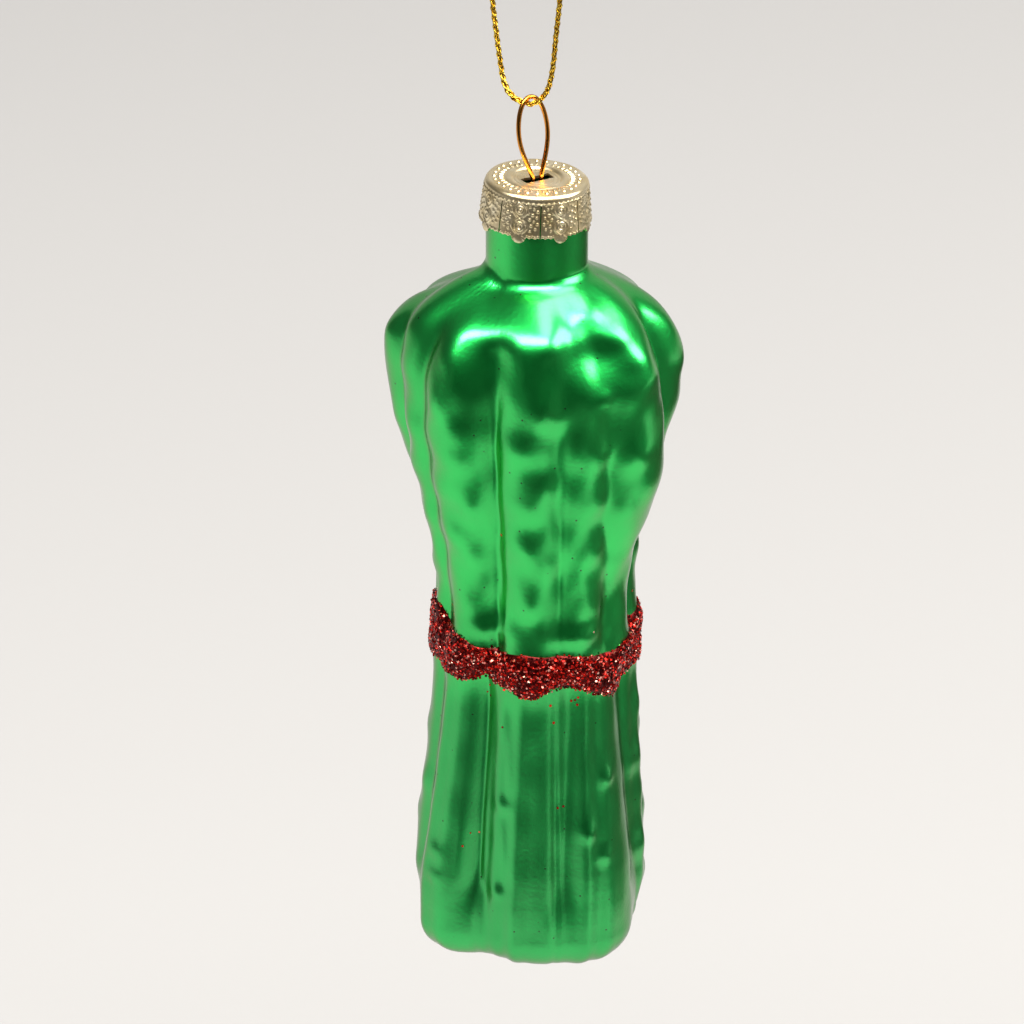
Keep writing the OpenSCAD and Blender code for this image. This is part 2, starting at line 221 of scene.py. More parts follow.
def smooth_line(points, steps):
    """A smooth curve through the points, with so many steps from each to the next."""
    p = np.asarray(points, float)
    p = np.vstack([2 * p[0] - p[1], p, 2 * p[-1] - p[-2]])
    out = []
    for i in range(1, len(p) - 2):
        a, b, c, d = p[i - 1 : i + 3]
        for u in np.linspace(0, 1, steps, endpoint=False):
            out.append(
                (2 * b + (c - a) * u + (2 * a - 5 * b + 4 * c - d) * u * u
                 + (3 * b - a - 3 * c + d) * u**3) / 2
            )
    out.append(p[-2])
    return np.array(out)


def even_line(points, step):
    """The same line with its points at even spacing, and its length."""
    gaps = np.linalg.norm(np.diff(points, axis=0), axis=1)
    along = np.concatenate([[0], np.cumsum(gaps)])
    count = max(2, int(round(along[-1] / step)) + 1)
    at = np.linspace(0, along[-1], count)
    return np.stack([np.interp(at, along, points[:, k]) for k in range(3)], 1), along[-1]


def turned(points, angle):
    """Points turned about the plumb line."""
    c, s = math.cos(angle), math.sin(angle)
    p = np.asarray(points, float)
    return np.stack([p[:, 0] * c - p[:, 1] * s, p[:, 0] * s + p[:, 1] * c, p[:, 2]], 1)


print("helpers ready")

# %% [markdown]
# ## The cord
# A limp metallic braid is pulled straight by the weight of the glass, so it has no slack: two
# strands run down from the knot, spread to the width that the wire's loop lets them, and turn
# through it. The turn is wider than two cord diameters. The braid has a core and six yarns,
# three winding each way, which pass over and under each other. Each is drawn as its own wire
# around the cord's middle line, because the plaited edge of a cord this near the lens shows
# against the pale ground. The real yarns are finer; these are as coarse as they need to be to show.

# %% The cord's route, in the loop's own plane
CORD_TURN = math.radians(-30)
CORD_STEP = 0.12
cord_route = [
    (-0.5, 0, 1.6), (-0.55, 0, 1), (-1.1, 0, 0), (-1.8, 0, -1.4), (-2.4, 0, -3), (-3.1, 0, -5),
    (-4.2, 0, -10), (-5.1, 0, -17), (-5.5, 0, -25), (-5.4, 0, -32), (-5.1, 0, -37),
    (-4.6, 0, -41), (-4.0, 0, -45), (-3.5, 0, -47.6), (-2.7, 0, -49.1), (-1.5, 0, -49.9),
    (-0.2, 0, -50.1), (0.9, 0, -49.9), (2.1, 0, -48.9), (3.0, 0, -47.3), (3.6, 0, -44.5),
    (4.0, 0, -40.5), (4.5, 0, -36), (5.0, 0, -31), (5.2, 0, -25), (4.8, 0, -17),
    (4.0, 0, -10), (3.1, 0, -5), (2.4, 0, -3), (1.8, 0, -1.4), (1.1, 0, 0), (0.55, 0, 1),
    (0.5, 0, 1.6),
]
cord_line, cord_length = even_line(turned(smooth_line(cord_route, 12), CORD_TURN), CORD_STEP)
print(f"cord: {cord_length:.1f} mm from knot to knot, {len(cord_line)} points")

# %% [markdown]
# ### The braid
# Each yarn is a helix around the cord, and the two directions take turns at lying outside. Where
# the cord bears on the wire its braid is pressed flat, half as wide again as it is thick.

# %% Yarns that wind around a line
# yarns each way, their thickness, the ring they wind on, how far they rise and dip, one turn
YARNS = 3
YARN_R = 0.125
YARN_RING = 0.21
YARN_WAVE = 0.06
LAY = 3.6
PRESSED = 0.55
PRESSED_REACH = 3.6


def braid_lines(line, side=(0.31, 0.94, 0.11), wide=1.0):
    """The middle lines of a core and six yarns around one line; wide stretches them sideways."""
    line = np.asarray(line)
    tangent = np.gradient(line, axis=0)
    tangent /= np.linalg.norm(tangent, axis=1, keepdims=True)
    side = np.array(side, float)
    sides = []
    for t in tangent:
        side = side - t * (side @ t)
        side = side / np.linalg.norm(side)
        sides.append(side)
    sides = np.array(sides)
    ups = np.cross(tangent, sides)
    along = np.concatenate([[0], np.cumsum(np.linalg.norm(np.diff(line, axis=0), axis=1))])
    lines = [line]
    for way in (1, -1):
        for k in range(YARNS):
            angle = way * 2 * math.pi * along / LAY + 2 * math.pi * k / YARNS
            over = np.cos(2 * math.pi * YARNS * along / LAY) * way
            ring = YARN_RING + YARN_WAVE * over
            lines.append(line + (ring * wide * np.cos(angle))[:, None] * sides
                         + (ring * np.sin(angle))[:, None] * ups)
    return lines


loop_side = (-math.sin(CORD_TURN), math.cos(CORD_TURN), 0)
lowest = cord_line[np.argmin(cord_line[:, 2])]
from_wire = np.linalg.norm(cord_line - lowest, axis=1)
pressed = 1 + PRESSED * np.exp(-((from_wire / PRESSED_REACH) ** 4))
cord = drawn("braided_cord", braid_lines(cord_line, loop_side, pressed), YARN_R, sides=6)
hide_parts("cord_loop")
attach(cord, "cord")
print("cord mesh:", len(cord.data.polygons), "faces")

# %% [markdown]
# ## The knot
# The two ends of the cord are closed by a few wraps: one end is wound around the other and both
# stick out as tails. Metallic braid frays where it is cut, so each tail ends in a small tuft.

# %% The knot's wraps and tails
KNOT_FOOT = cord_route[0][2]
KNOT_H = 2.4
WRAPS = 3
WRAP_R = CORD_D * 1.15
TAIL_L = 6.5
TAIL_LEAN = math.radians(14)
TUFT_HAIRS = 9

wrap_turns = np.linspace(0, 1, 60)
winding = np.stack([
    -WRAP_R * np.cos(2 * math.pi * WRAPS * wrap_turns),
    -WRAP_R * np.sin(2 * math.pi * WRAPS * wrap_turns),
    KNOT_FOOT + CORD_D / 2 + (KNOT_H - CORD_D) * wrap_turns,
], 1)


def tail(side, start):
    """One end of the cord, which leans out of the knot and curls a little."""
    steps = np.linspace(0.15, 1, 7)[:, None]
    lean = np.array([side * math.sin(TAIL_LEAN), 0.08 * side, math.cos(TAIL_LEAN)])
    curl = np.array([side * 0.5, 0.1, 0.0])
    return start + steps * lean * TAIL_L + steps**2 * curl


knot_top = KNOT_FOOT + KNOT_H
wound = np.vstack([
    [(-0.5, 0, KNOT_FOOT)],
    winding,
    tail(-1, np.array([-WRAP_R * 0.8, 0, knot_top - 0.3])),
])
inner = np.vstack([
    [(0.5, 0, KNOT_FOOT), (0.2, 0, KNOT_FOOT + 0.6), (0.1, 0, knot_top - 0.4)],
    tail(1, np.array([0.25, 0, knot_top - 0.3])),
])
knot_lines = []
tips = []
for route in (wound, inner):
    line, _ = even_line(turned(smooth_line(route, 6), CORD_TURN), CORD_STEP)
    knot_lines += braid_lines(line)
    tips.append((line[-1], line[-1] - line[-4]))
for tip, way in tips:
    way = way / np.linalg.norm(way)
    across = np.cross(way, (0, 1, 0))
    across /= np.linalg.norm(across)
    other = np.cross(way, across)
    for k in range(TUFT_HAIRS):
        # 2.4 radians, the golden angle, spreads the hairs evenly around the tip
        angle = k * 2.4
        spread = 0.12 + 0.04 * (k % 4)
        out = math.cos(angle) * across + math.sin(angle) * other
        length = 0.9 + 0.12 * (k % 3)
        knot_lines.append([
            tip + out * 0.12 - way * 0.2,
            tip + out * 0.2 + way * length / 2,
            tip + out * (0.2 + spread) + way * length,
        ])
knot = drawn("tied_knot", knot_lines, YARN_R, sides=6)
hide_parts("cord_knot")
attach(knot, "cord")
print("knot mesh:", len(knot.data.polygons), "faces")

# %% [markdown]
# ### The cord's facts
# The frame keeps the facts of a cord beside its shape: its length and thickness, how it hangs and
# what closes it. This script sets none of them.

# %% The cord is finished
print("cord finished")

# %% [markdown]
# ## The hanger wire
# One length of spring wire is bent into a narrow loop. Its legs are pinched together to pass
# the slot and then spring apart inside the neck, which holds the cap down on the rim. A bent wire
# is drawn as a curve with a round section. Its cut ends are round enough from the cutter.

# %% The wire's bends
WIRE_TURN = math.radians(33.6)
EYE_W = 4.3
PINCH_W = 1.3
LEG_L = 17.0
EYE_MID = EYE_H * 0.57
LEG_WIDE = BORE_R - WIRE_D / 2 - LEG_GAP


def ease(u):
    """A soft step: 0 up to u = 0, 1 from u = 1 on."""
    u = np.clip(u, 0, 1)
    return 0.5 - 0.5 * np.cos(np.pi * u)


def wire_half(z):
    """Half the distance between the wire's two sides, at height z over the cap's top."""
    if z >= EYE_MID:
        return EYE_W / 2 * math.sqrt(max(0, 1 - ((z - EYE_MID) / (EYE_H - EYE_MID)) ** 2))
    if z >= 0:
        grow = math.sin(math.pi / 2 * z / EYE_MID) ** 1.2
        return PINCH_W / 2 + (EYE_W / 2 - PINCH_W / 2) * grow
    spread = float(ease((-z - 2 * WIRE_D) / (LEG_L * 0.55)))
    return PINCH_W / 2 + (LEG_WIDE - PINCH_W / 2) * spread


side_line = [(wire_half(z), z) for z in np.linspace(-LEG_L, 0, 40)]
side_line += [(wire_half(z), z) for z in np.linspace(0, EYE_MID, 24)[1:]]
side_line += [
    (EYE_W / 2 * math.cos(q), EYE_MID + (EYE_H - EYE_MID) * math.sin(q))
    for q in np.linspace(0, math.pi / 2, 24)[1:]
]
# the legs stand in the middle of the neck, and the loop leans toward the cord above it
wire_points = []
for x, z in [(-x, z) for x, z in side_line] + [(x, z) for x, z in reversed(side_line[:-1])]:
    lean = max(0, z) / EYE_H
    wire_points.append((
        NECK_X + x * math.cos(WIRE_TURN) - lean * NECK_X * 0.75,
        NECK_Y + x * math.sin(WIRE_TURN) - lean * NECK_Y,
        CAP_Z + z,
    ))
wire = drawn("bent_wire", [wire_points], WIRE_D / 2, sides=16)
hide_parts("hanger_wire")
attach(wire, "hanger")
print("wire mesh:", len(wire.data.polygons), "faces")

# %% [markdown]
# ## The crown cap
# The cap is one stamping of thin tinplate: a top with a dish, fine rings, a raised ring, short
# rays and a circle of dots, and a skirt cut into eight petals, each with a lace of rings, beads
# and waves and a round tab in the middle of its edge. A grid is rolled up from the middle of the
# top, down the skirt and back up inside, and the pattern is pressed out of its outer rows. Bump
# in the material would not do: beads this large show in the outline and cast shadows.

# %% The cap's sizes
CAP_H = 5.4
CAP_TOP_R = RIM_R + RIM_GAP + SHEET
CAP_LOW_R = NECK_R + SKIRT_GAP + SHEET + CAP_H * math.sin(CAP_TILT)
CAP_FOLD = 0.6
PETALS = 8
PETAL_HALF = 2.6
FIRST_SLIT = math.radians(4.6)
TAB_R = 0.9
TAB_RISE = 0.15 * TAB_R
SCALLOP = 0.66
SLIT_W = 0.16
SLOT = (4.2, 1.5)
EMBOSS = 0.115
RING_R = 3.6
DISH = 0.16
RAYS = 40
RAY_R = 4.55
DOTS = 28
DOT_R = 5.4
# beads of one half petal: distance from its middle, depth, size
petal_beads = [
    (1.25, 1.35, 0.2), (1.75, 1.6, 0.17), (2.2, 1.9, 0.2), (1.1, 2.2, 0.16), (1.6, 2.35, 0.22),
    (2.1, 2.65, 0.17), (1.25, 2.95, 0.2), (1.75, 3.2, 0.16), (2.2, 3.5, 0.2), (1.45, 3.75, 0.2),
    (1.95, 4.15, 0.17), (1.35, 4.45, 0.16),
]
print(f"cap: {2 * CAP_TOP_R:.1f} mm across its top, {2 * CAP_LOW_R:.1f} mm across its edge")

# %% The stamped pattern
def dot(x, y, at_x, at_y, size):
    """A round bead of height 1 at a place."""
    return np.clip(1 - ((x - at_x) ** 2 + (y - at_y) ** 2) / size**2, 0, 1) ** 0.7


def line_at(distance, half):
    """A rounded ridge of height 1 where the distance is 0."""
    return np.clip(1 - (distance / half) ** 2, 0, 1) ** 0.8


def petal_place(azimuth):
    """Distance along the skirt from the middle of the nearest petal, in millimetres."""
    step = 2 * math.pi / PETALS
    return ((azimuth - FIRST_SLIT) % step - step / 2) * CAP_TOP_R


def edge_depth(x):
    """Depth of the skirt's edge: scallops with a round tab in the middle."""
    tab = np.sqrt(np.clip(TAB_R**2 - x**2, 0, None)) - TAB_RISE
    return CAP_H + np.maximum(tab, 0.07 * np.cos(x * 2 * math.pi / SCALLOP))


def lace(x, depth, edge):
    """Height of the pattern on the skirt, from 0 to 1."""
    h = 0 * x
    # two rosettes, one over the other: middle, radius of the ring, half its width, bead inside
    for at, ring, half, inside in ((1.9, 0.42, 0.17, 0.17), (4.0, 0.48, 0.19, 0.2)):
        h = np.maximum(h, line_at(np.hypot(x, depth - at) - ring, half))
        h = np.maximum(h, dot(x, depth, 0, at, inside))
    # the ribbon that winds around them, and the beads outside it
    top = 0.85
    waist = 0.14 + 0.78 * np.abs(np.sin(math.pi * (depth - top) / 2.1))
    h = np.maximum(h, line_at(np.abs(x) - waist, 0.16) * (depth > top) * (depth < edge))
    for bead in petal_beads:
        h = np.maximum(h, dot(np.abs(x), depth, *bead))
    # a row of beads on the scallops, a wavy line under the fold, and the boss of the tab
    along = (x + SCALLOP / 4) % (SCALLOP / 2) - SCALLOP / 4
    h = np.maximum(h, dot(along, depth, 0, edge - 0.22, 0.15) * (np.abs(x) > TAB_R))
    h = np.maximum(h, line_at(depth - 0.95 - 0.1 * np.cos(x * 9.5), 0.1) * 0.7)
    return np.maximum(h, dot(x, depth, 0, CAP_H + 0.15, 0.6))


def top_height(radius, azimuth):
    """Height of the cap's top over its flat: dish, rings, rays and dots."""
    dish = DISH * (1 - ease((radius - RING_R + 0.7) / 0.6))
    h = -dish + 0.14 * line_at(radius - RING_R, 0.5)
    for at in (1.55, 2.25, 2.75):
        h = h + 0.06 * line_at(radius - at, 0.16)
    rays = np.clip(np.cos(azimuth * RAYS) * 2, 0, 1)
    h = h + 0.13 * rays * line_at(radius - RAY_R, 0.4)
    step = 2 * math.pi / DOTS
    around = ((azimuth + step / 2) % step - step / 2) * 5.35
    return h + 0.2 * dot(around, radius, 0, DOT_R, 0.23)


print("lace at the middle of a petal:", float(lace(np.zeros(1), np.full(1, 1.9), CAP_H)[0]))

# %% [markdown]
# ### From pattern to sheet
# Each row of the grid is one ring of the cap, in the order in which a finger would follow the
# sheet: from the middle of the top over the fold, down the skirt, around the edge and back inside.
# The pattern moves the outer rows alone, so the inside stays plain. Punching has left each petal
# a little flatter than a true cone, in toward the neck at the middle of its edge.

# %% Rolling the cap
CAP_COLUMNS = 440
CAP_ROWS = {"top": 84, "fold": 7, "skirt": 50, "edge": 1, "inside": 12}
PETAL_FLAT = 0.012
cap_rows = sum(CAP_ROWS.values())


def cap_place(u, v):
    """Where the grid's point lies on the sheet, with the cap's top at height 0."""
    azimuth = u * 2 * math.pi
    row = np.round(v * cap_rows)
    x = petal_place(azimuth)
    edge = edge_depth(x)
    fold_at = CAP_TOP_R - CAP_FOLD
    a = CAP_ROWS["top"]
    b = a + CAP_ROWS["fold"]
    c = b + CAP_ROWS["skirt"]
    d = c + CAP_ROWS["edge"]
    e = d + CAP_ROWS["inside"]
    slope = (CAP_LOW_R - CAP_TOP_R) / (CAP_H - CAP_FOLD)
    flat = 0.05 * np.cos(math.pi * x / PETAL_HALF) - 0.02
    # outer rows
    middle = PETAL_FLAT * (0.5 + 0.5 * np.cos(math.pi * x / PETAL_HALF))
    r_top = fold_at * np.clip(row / a, 0, 1)
    z_top = top_height(r_top, azimuth)
    r_top = r_top * (1 - middle * np.clip(row / a, 0, 1) ** 4)
    q = np.clip((row - a) / (b - a), 0, 1) * math.pi / 2
    r_fold = fold_at * (1 - middle) + CAP_FOLD * np.sin(q)
    z_fold = -CAP_FOLD * (1 - np.cos(q))
    s = np.clip((row - b) / (c - b), 0, 1)
    depth = CAP_FOLD + (edge - CAP_FOLD) * s
    r_skirt = CAP_TOP_R + slope * (depth - CAP_FOLD) - flat * s + EMBOSS * lace(x, depth, edge)
    r_skirt = r_skirt - fold_at * middle * (1 - s) ** 2
    # inner rows, in reverse
    w = np.clip((row - d) / (e - d), 0, 1)
    back = np.clip(2 * w, 0, 1)
    deep = edge + (CAP_FOLD * 0.8 - edge) * back
    r_in = np.minimum(CAP_TOP_R + slope * (deep - CAP_FOLD) - flat, CAP_LOW_R + 0.2) - SHEET
    under = np.clip((w - 0.5) * 2, 0, 1)
    r_under = (CAP_TOP_R - SHEET) * (1 - under)
    z_in = np.where(w <= 0.5, -deep, -SHEET - 0.25 * ease(under * 1.6 - 0.5) - 0.02)
    r_in = np.where(w <= 0.5, r_in, r_under)
    r = np.where(row <= a, r_top, np.where(row <= b, r_fold, np.where(row <= c, r_skirt, r_in)))
    z = np.where(row <= a, z_top, np.where(row <= b, z_fold, np.where(row <= c, -depth, z_in)))
    return np.stack([r * np.cos(azimuth - math.pi / 2), r * np.sin(azimuth - math.pi / 2), z], 1)


cap = rolled("stamped_cap", CAP_COLUMNS, cap_rows, cap_place)

# %% [markdown]
# ### The slot and the slits
# The press punches a slot for the wire through the top and cuts the skirt into petals. A box for
# each cut is joined into one cutter and taken away with a boolean, so that the edges are crisp.
# The exact solver is used, because the cuts run through beads and scallops.

# %% Cutting the slot and the slits
SLIT_REACH = 8.0
SLIT_TOP, SLIT_FOOT = -2 * CAP_FOLD, -CAP_H - 2 * TAB_R


def cutting_box(size, place, turn):
    """A box of a size at a place, both in millimetres, turned about the plumb line."""
    bpy.ops.mesh.primitive_cube_add(size=1)
    box = bpy.context.object
    box.scale = Vector(size) * MM
    box.location = Vector(place) * MM
    box.rotation_euler = (0, 0, turn)
    return box


deselect()
cutters = [cutting_box((*SLOT, 4 * CAP_FOLD), (0, 0, 0), WIRE_TURN)]
for k in range(PETALS):
    angle = FIRST_SLIT + k * 2 * math.pi / PETALS - math.pi / 2
    cutters.append(cutting_box(
        (SLIT_REACH, SLIT_W, SLIT_TOP - SLIT_FOOT),
        (SLIT_REACH / 2 * math.cos(angle), SLIT_REACH / 2 * math.sin(angle),
         (SLIT_TOP + SLIT_FOOT) / 2),
        angle,
    ))
make_active(cutters[0])
for cutter in cutters:
    cutter.select_set(True)
bpy.ops.object.join()
cutter = bpy.context.object
make_active(cap)
boolean = cap.modifiers.new("cuts", "BOOLEAN")
boolean.operation = "DIFFERENCE"
boolean.solver = "EXACT"
boolean.object = cutter
bpy.ops.object.modifier_apply(modifier=boolean.name)
bpy.data.objects.remove(cutter)
bpy.ops.object.shade_smooth_by_angle(angle=math.radians(50))
cap.data.transform(
    Matrix.Translation(Vector((NECK_X, NECK_Y, CAP_Z)) * MM) @ Matrix.Rotation(CAP_TILT, 4, "Y")
)
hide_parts("crown_cap")
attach(cap, "cap")
print("cap:", len(cap.data.polygons), "faces after the cuts")

# %% [markdown]
# ## The glass
# A gather of glass is blown into a mould, so its skin is one smooth surface with the mould's
# gherkins, grooves and warts. Its section at each height is found by letting round gherkins
# stand around the axis and taking the outermost of them in every direction, softened a little
# where two meet. Over the tied waist they bulge like sheaves, below it they flare to the foot,
# and there two of the front stalks lean together. Sculpting by hand would not keep the outline
# to a tenth of a millimetre; moving the vertices by a rule does.

# %% The gherkins of the mould
SHOULDER_R = 18.0
WAIST_R = 13.3
FOOT_R = 15.75
FOOT_ROUND = 5.0
RIDGE_OUT = 0.6
RIDGE_HALF = 3.2
WAIST_T = BODY_H * 0.5375
# the higher the power, the sharper the groove between two gherkins
GROOVE_POWER = 46.0
CORE = 0.55
# azimuth, and as shares of the shoulder's radius and the height: reach, radius, top, widest
# level, end at the waist; then how round the top is
upper_gherkins = [
    (-2, 0.855, 0.30, 0.008, 0.155, 0.487, 0.6),
    (-48, 0.955, 0.30, 0.013, 0.165, 0.467, 0.8),
    (-76, 0.980, 0.245, 0.003, 0.142, 0.467, 0.7),
    (-101, 1.100, 0.267, 0.020, 0.132, 0.467, 1.3),
    (-129, 1.033, 0.29, 0.020, 0.132, 0.467, 1.2),
    (-163, 0.940, 0.29, 0.010, 0.132, 0.467, 1.0),
    (157, 0.910, 0.29, 0.012, 0.132, 0.467, 1.0),
    (124, 0.930, 0.29, 0.012, 0.130, 0.467, 1.0),
    (97, 1.040, 0.267, 0.004, 0.165, 0.39, 1.1),
    (58, 1.005, 0.33, 0.004, 0.23, 0.45, 0.62),
    (28, 0.880, 0.30, 0.004, 0.19, 0.467, 1.0),
]
# azimuth, and as shares of the foot's radius and the height: reach, radius, widest level and
# height of the blunt end
lower_gherkins = [
    (-2.5, 0.957, 0.445, 0.896, 0),
    (-56, 1.150, 0.33, 0.916, 0),
    (-86, 1.035, 0.292, 0.866, 0.122),
    (-110, 1.041, 0.305, 0.876, 0.081),
    (-138, 1.016, 0.330, 0.896, 0),
    (-167, 1.003, 0.330, 0.896, 0),
    (163, 1.003, 0.330, 0.896, 0),
    (134, 1.003, 0.330, 0.896, 0),
    (106, 0.978, 0.305, 0.876, 0.081),
    (78, 0.959, 0.279, 0.896, 0.112),
    (39, 1.066, 0.43, 0.896, 0),
]


def circle_reach(azimuth, at, reach, radius):
    """How far from the axis a circle reaches that touches the distance reach at one azimuth."""
    middle = reach - radius
    turn = np.radians(azimuth - at)
    inside = radius**2 - (middle * np.sin(turn)) ** 2
    return np.maximum(middle * np.cos(turn) + np.sqrt(np.maximum(inside, 0)), reach / 1000)


def upper_radius(azimuth, t):
    """Radius of the gherkins above the waist, at depth t below the neck's root."""
    total = (NECK_R / SHOULDER_R) ** GROOVE_POWER + 0 * azimuth
    for at, share, round_share, top, wide, low, power in upper_gherkins:
        reach, top, wide, low = share * SHOULDER_R, top * BODY_H, wide * BODY_H, low * BODY_H
        g = np.clip((t - top) / (wide - top), 0, 1)
        size = np.where(
            t < wide,
            NECK_R + (reach - NECK_R) * (1 - (1 - g) ** 3) ** power,
            reach + (WAIST_R - reach) * ease((t - wide) / (low - wide)),
        )
        r = circle_reach(azimuth, at, reach, round_share * SHOULDER_R) * size / reach
        total = total + (r / SHOULDER_R) ** GROOVE_POWER
    return SHOULDER_R * total ** (1 / GROOVE_POWER)


def lower_radius(azimuth, t):
    """Radius of the stalks below the waist; their flare is averaged over 10 mm, so it bends."""
    total = CORE**GROOVE_POWER + 0 * azimuth
    for at, share, round_share, wide, blunt in lower_gherkins:
        reach = share * FOOT_R
        u = sum(np.clip((t + d - WAIST_T) / (wide * BODY_H - WAIST_T), 0, 1) ** 1.3
                for d in (-5, -2.5, 0, 2.5, 5)) / 5
        height = max(blunt, 0.01) * BODY_H
        q = np.clip((t - BODY_H + height) / height, 0, 1)
        size = WAIST_R + (reach - WAIST_R) * u
        size = size - blunt * BODY_H * 0.5 * (1 - np.sqrt(1 - q * q))
        r = circle_reach(azimuth, at, reach, round_share * FOOT_R) * size / reach
        total = total + (r / FOOT_R) ** GROOVE_POWER
    return FOOT_R * total ** (1 / GROOVE_POWER)


# the stalks on both sides of an azimuth lean by so many degrees: azimuth, spread, degrees,
# depth at which they stand straight, depth over which the lean grows to its full size
LEAN_AT, LEAN_SPREAD, LEAN, LEAN_FROM, LEAN_OVER = -30, 22, 4.5, 66, 28


def bundle_radius(azimuth, t):
    """The whole bundle, with the ridge that the mould leaves for the band."""
    half = RIDGE_HALF * 0.9
    mix = ease((t - WAIST_T + half) / (2 * half))
    near = np.exp(-(((azimuth - LEAN_AT) / LEAN_SPREAD) ** 2))
    lean = LEAN * near * (t - LEAN_FROM) / LEAN_OVER
    bare = upper_radius(azimuth, t) * (1 - mix) + lower_radius(azimuth + lean, t) * mix
    return bare + RIDGE_OUT * np.exp(-(((t - WAIST_T) / RIDGE_HALF) ** 2))


print(f"front radius at 20 mm: {float(bundle_radius(np.array([0.0]), np.array([20.0]))[0]):.2f}")

# %% [markdown]
# ### Warts
# A gherkin's warts are low and round, 4 to 5 mm across and about 0.4 mm high, one every 7 mm or
# so, on alternate sides of its middle. The front ones stand where they are seen on the real
# bundle, and the rest are laid out by the same habit.

# %% Warts
WART_H, WART_SPREAD = 0.36, 1.45
SMALL_WART_H, SMALL_WART_SPREAD = 0.3, 0.8
# azimuth in degrees and depth in millimetres below the neck's root
front_warts = [
    (-47.6, 14.8), (-36, 17.7), (-41, 22), (-50, 27), (-33, 29.3), (-48, 33.5), (-33.6, 36.8),
    (-44.6, 44), (-43, 8), (1.4, 14.6), (10.4, 15.2), (-8.4, 19.4), (4, 24.8), (-9, 28),
    (-6.4, 34.3), (5.6, 36.7), (-3, 43), (30, 20.9), (47.9, 13.6),
    (46, 22.2), (51, 21.5), (30.8, 28.4), (45, 30), (31, 35.7), (44, 38), (30.4, 43.7),
]
# small ones on the right shoulder and the lower front
small_warts = [
    (33, 13), (-18.8, 72.6), (40, 69.2), (34.5, 80.2), (27, 76.4), (-54.5, 81.4), (-53.6, 85),
    (-20.9, 85.8),
]
# on the sides and the back: every 6.8 mm, 7 degrees to either side of the gherkin's middle
WART_PITCH = 6.8
WART_ASIDE = 7
FRONT_HALF = 65
wart_rows = []
for table, first, last in ((upper_gherkins, 8.0, 46.0), (lower_gherkins, 62.0, 90.0)):
    for k, gherkin in enumerate(table):
        if abs(gherkin[0]) < FRONT_HALF:
            continue
        for i, t in enumerate(np.arange(first + (k % 3) * 2.2, last, WART_PITCH)):
            aside = WART_ASIDE if (i + k) % 2 else -WART_ASIDE
            wart_rows.append((gherkin[0] + aside, t + ((i * 7 + k * 3) % 5) * 0.4))
warts = front_warts + wart_rows
print(len(warts), "warts and", len(small_warts), "small ones")

# %% [markdown]
# ### The hand of the mould
# Between the warts the skin waves a little, as it does in an old mould: on a mirror finish, waves
# of a tenth of a millimetre are what makes the reflections run. Low ribs follow the stalks
# below the band. Over that come single strokes, as a sculptor would add them with a thumb or a
# wire tool: a bulge, a crease, a vein.

# %% Waves, ribs and strokes
# around, along (turns per mm), phase, height in millimetres
mould_waves = [
    (3, 0.021, 0.4, 0.10), (5, -0.034, 2.1, 0.08), (8, 0.047, 4.0, 0.06), (11, -0.071, 1.0, 0.05),
    (14, 0.089, 5.2, 0.04), (19, -0.117, 3.3, 0.03), (23, 0.149, 0.9, 0.022), (0, 0.143, 2.7, 0.06),
]

# ribs of the lower half: around, phase, height in millimetres
mould_ribs = [(21, 0.3, 0.07), (29, 2.2, 0.06), (37, 4.4, 0.035)]

# azimuth, depth, out (or in, where negative), half width, half length
strokes = [
    # on the shoulders, close under the neck
    (5, 2.2, -0.5, 7, 1.4), (7, 5.2, 0.6, 6, 2.0), (-40, 4.8, 0.7, 5, 2.0),
    (33, 2.6, 0.7, 2.5, 1.4), (44, 5.8, 0.7, 2.6, 1.8), (52, 9.0, 0.8, 2.6, 1.8),
    (53, 11.6, 0.75, 3.0, 2.0), (33, 7.5, -0.6, 3.0, 2.6), (18, 5.5, -0.35, 1.4, 3.5),
    # a crease and its lip on the middle stalk, and creases along the upper gherkins
    (10.5, 76, -0.3, 0.45, 17), (12.6, 76, 0.2, 0.5, 17),
    (-22, 34, -0.25, 0.5, 17), (-24.5, 32, 0.15, 0.6, 16), (14, 36, -0.15, 0.5, 12),
    # veins of the stalks
    (-33, 79, 0.32, 0.7, 13), (-13, 78, 0.12, 0.9, 14), (-18, 79, 0.25, 0.6, 4),
    (-15.5, 67, 0.22, 0.6, 5), (-42, 80, 0.2, 0.5, 6),
    # swellings of the stalks
    (24, 77.5, 0.25, 3.0, 4), (24, 58, 0.2, 3.0, 3.5), (-22, 88, 0.15, 2.5, 2.5),
    (6.5, 78, 0.3, 1.6, 20), (25.5, 78, 0.3, 1.3, 18),
    # bulges where the band ties the upper gherkins
    (-30, 47.2, 0.5, 2.4, 1.5), (22, 47.6, 0.5, 3.5, 1.5),
]
print(len(mould_waves), "waves,", len(mould_ribs), "ribs,", len(strokes), "strokes")

# %% The skin of the glass
def soft_bundle(azimuth, t):
    """The bundle with its grooves filled: most under the neck, on the shoulders, at the foot."""
    front = ease((azimuth + 46) / 16) * ease((78 - azimuth) / 16)
    right = np.exp(-(((azimuth - 45) / 12) ** 2))
    spread = 1.2 + 4 * front * (1 - ease((t - 8) / 12)) + 4 * right * (1 - ease((t - 14) / 12))
    spread = spread + 9 * (1 - ease(t / 9)) + 7 * ease((t - 82) / 11)
    # a weighted average over the directions near by, spread out by so many degrees
    total, weight = 0 * azimuth, 0
    for k in np.linspace(-2.2, 2.2, 13):
        w = math.exp(-k * k / 2)
        total = total + w * bundle_radius(azimuth + k * spread, t)
        weight += w
    return total / weight


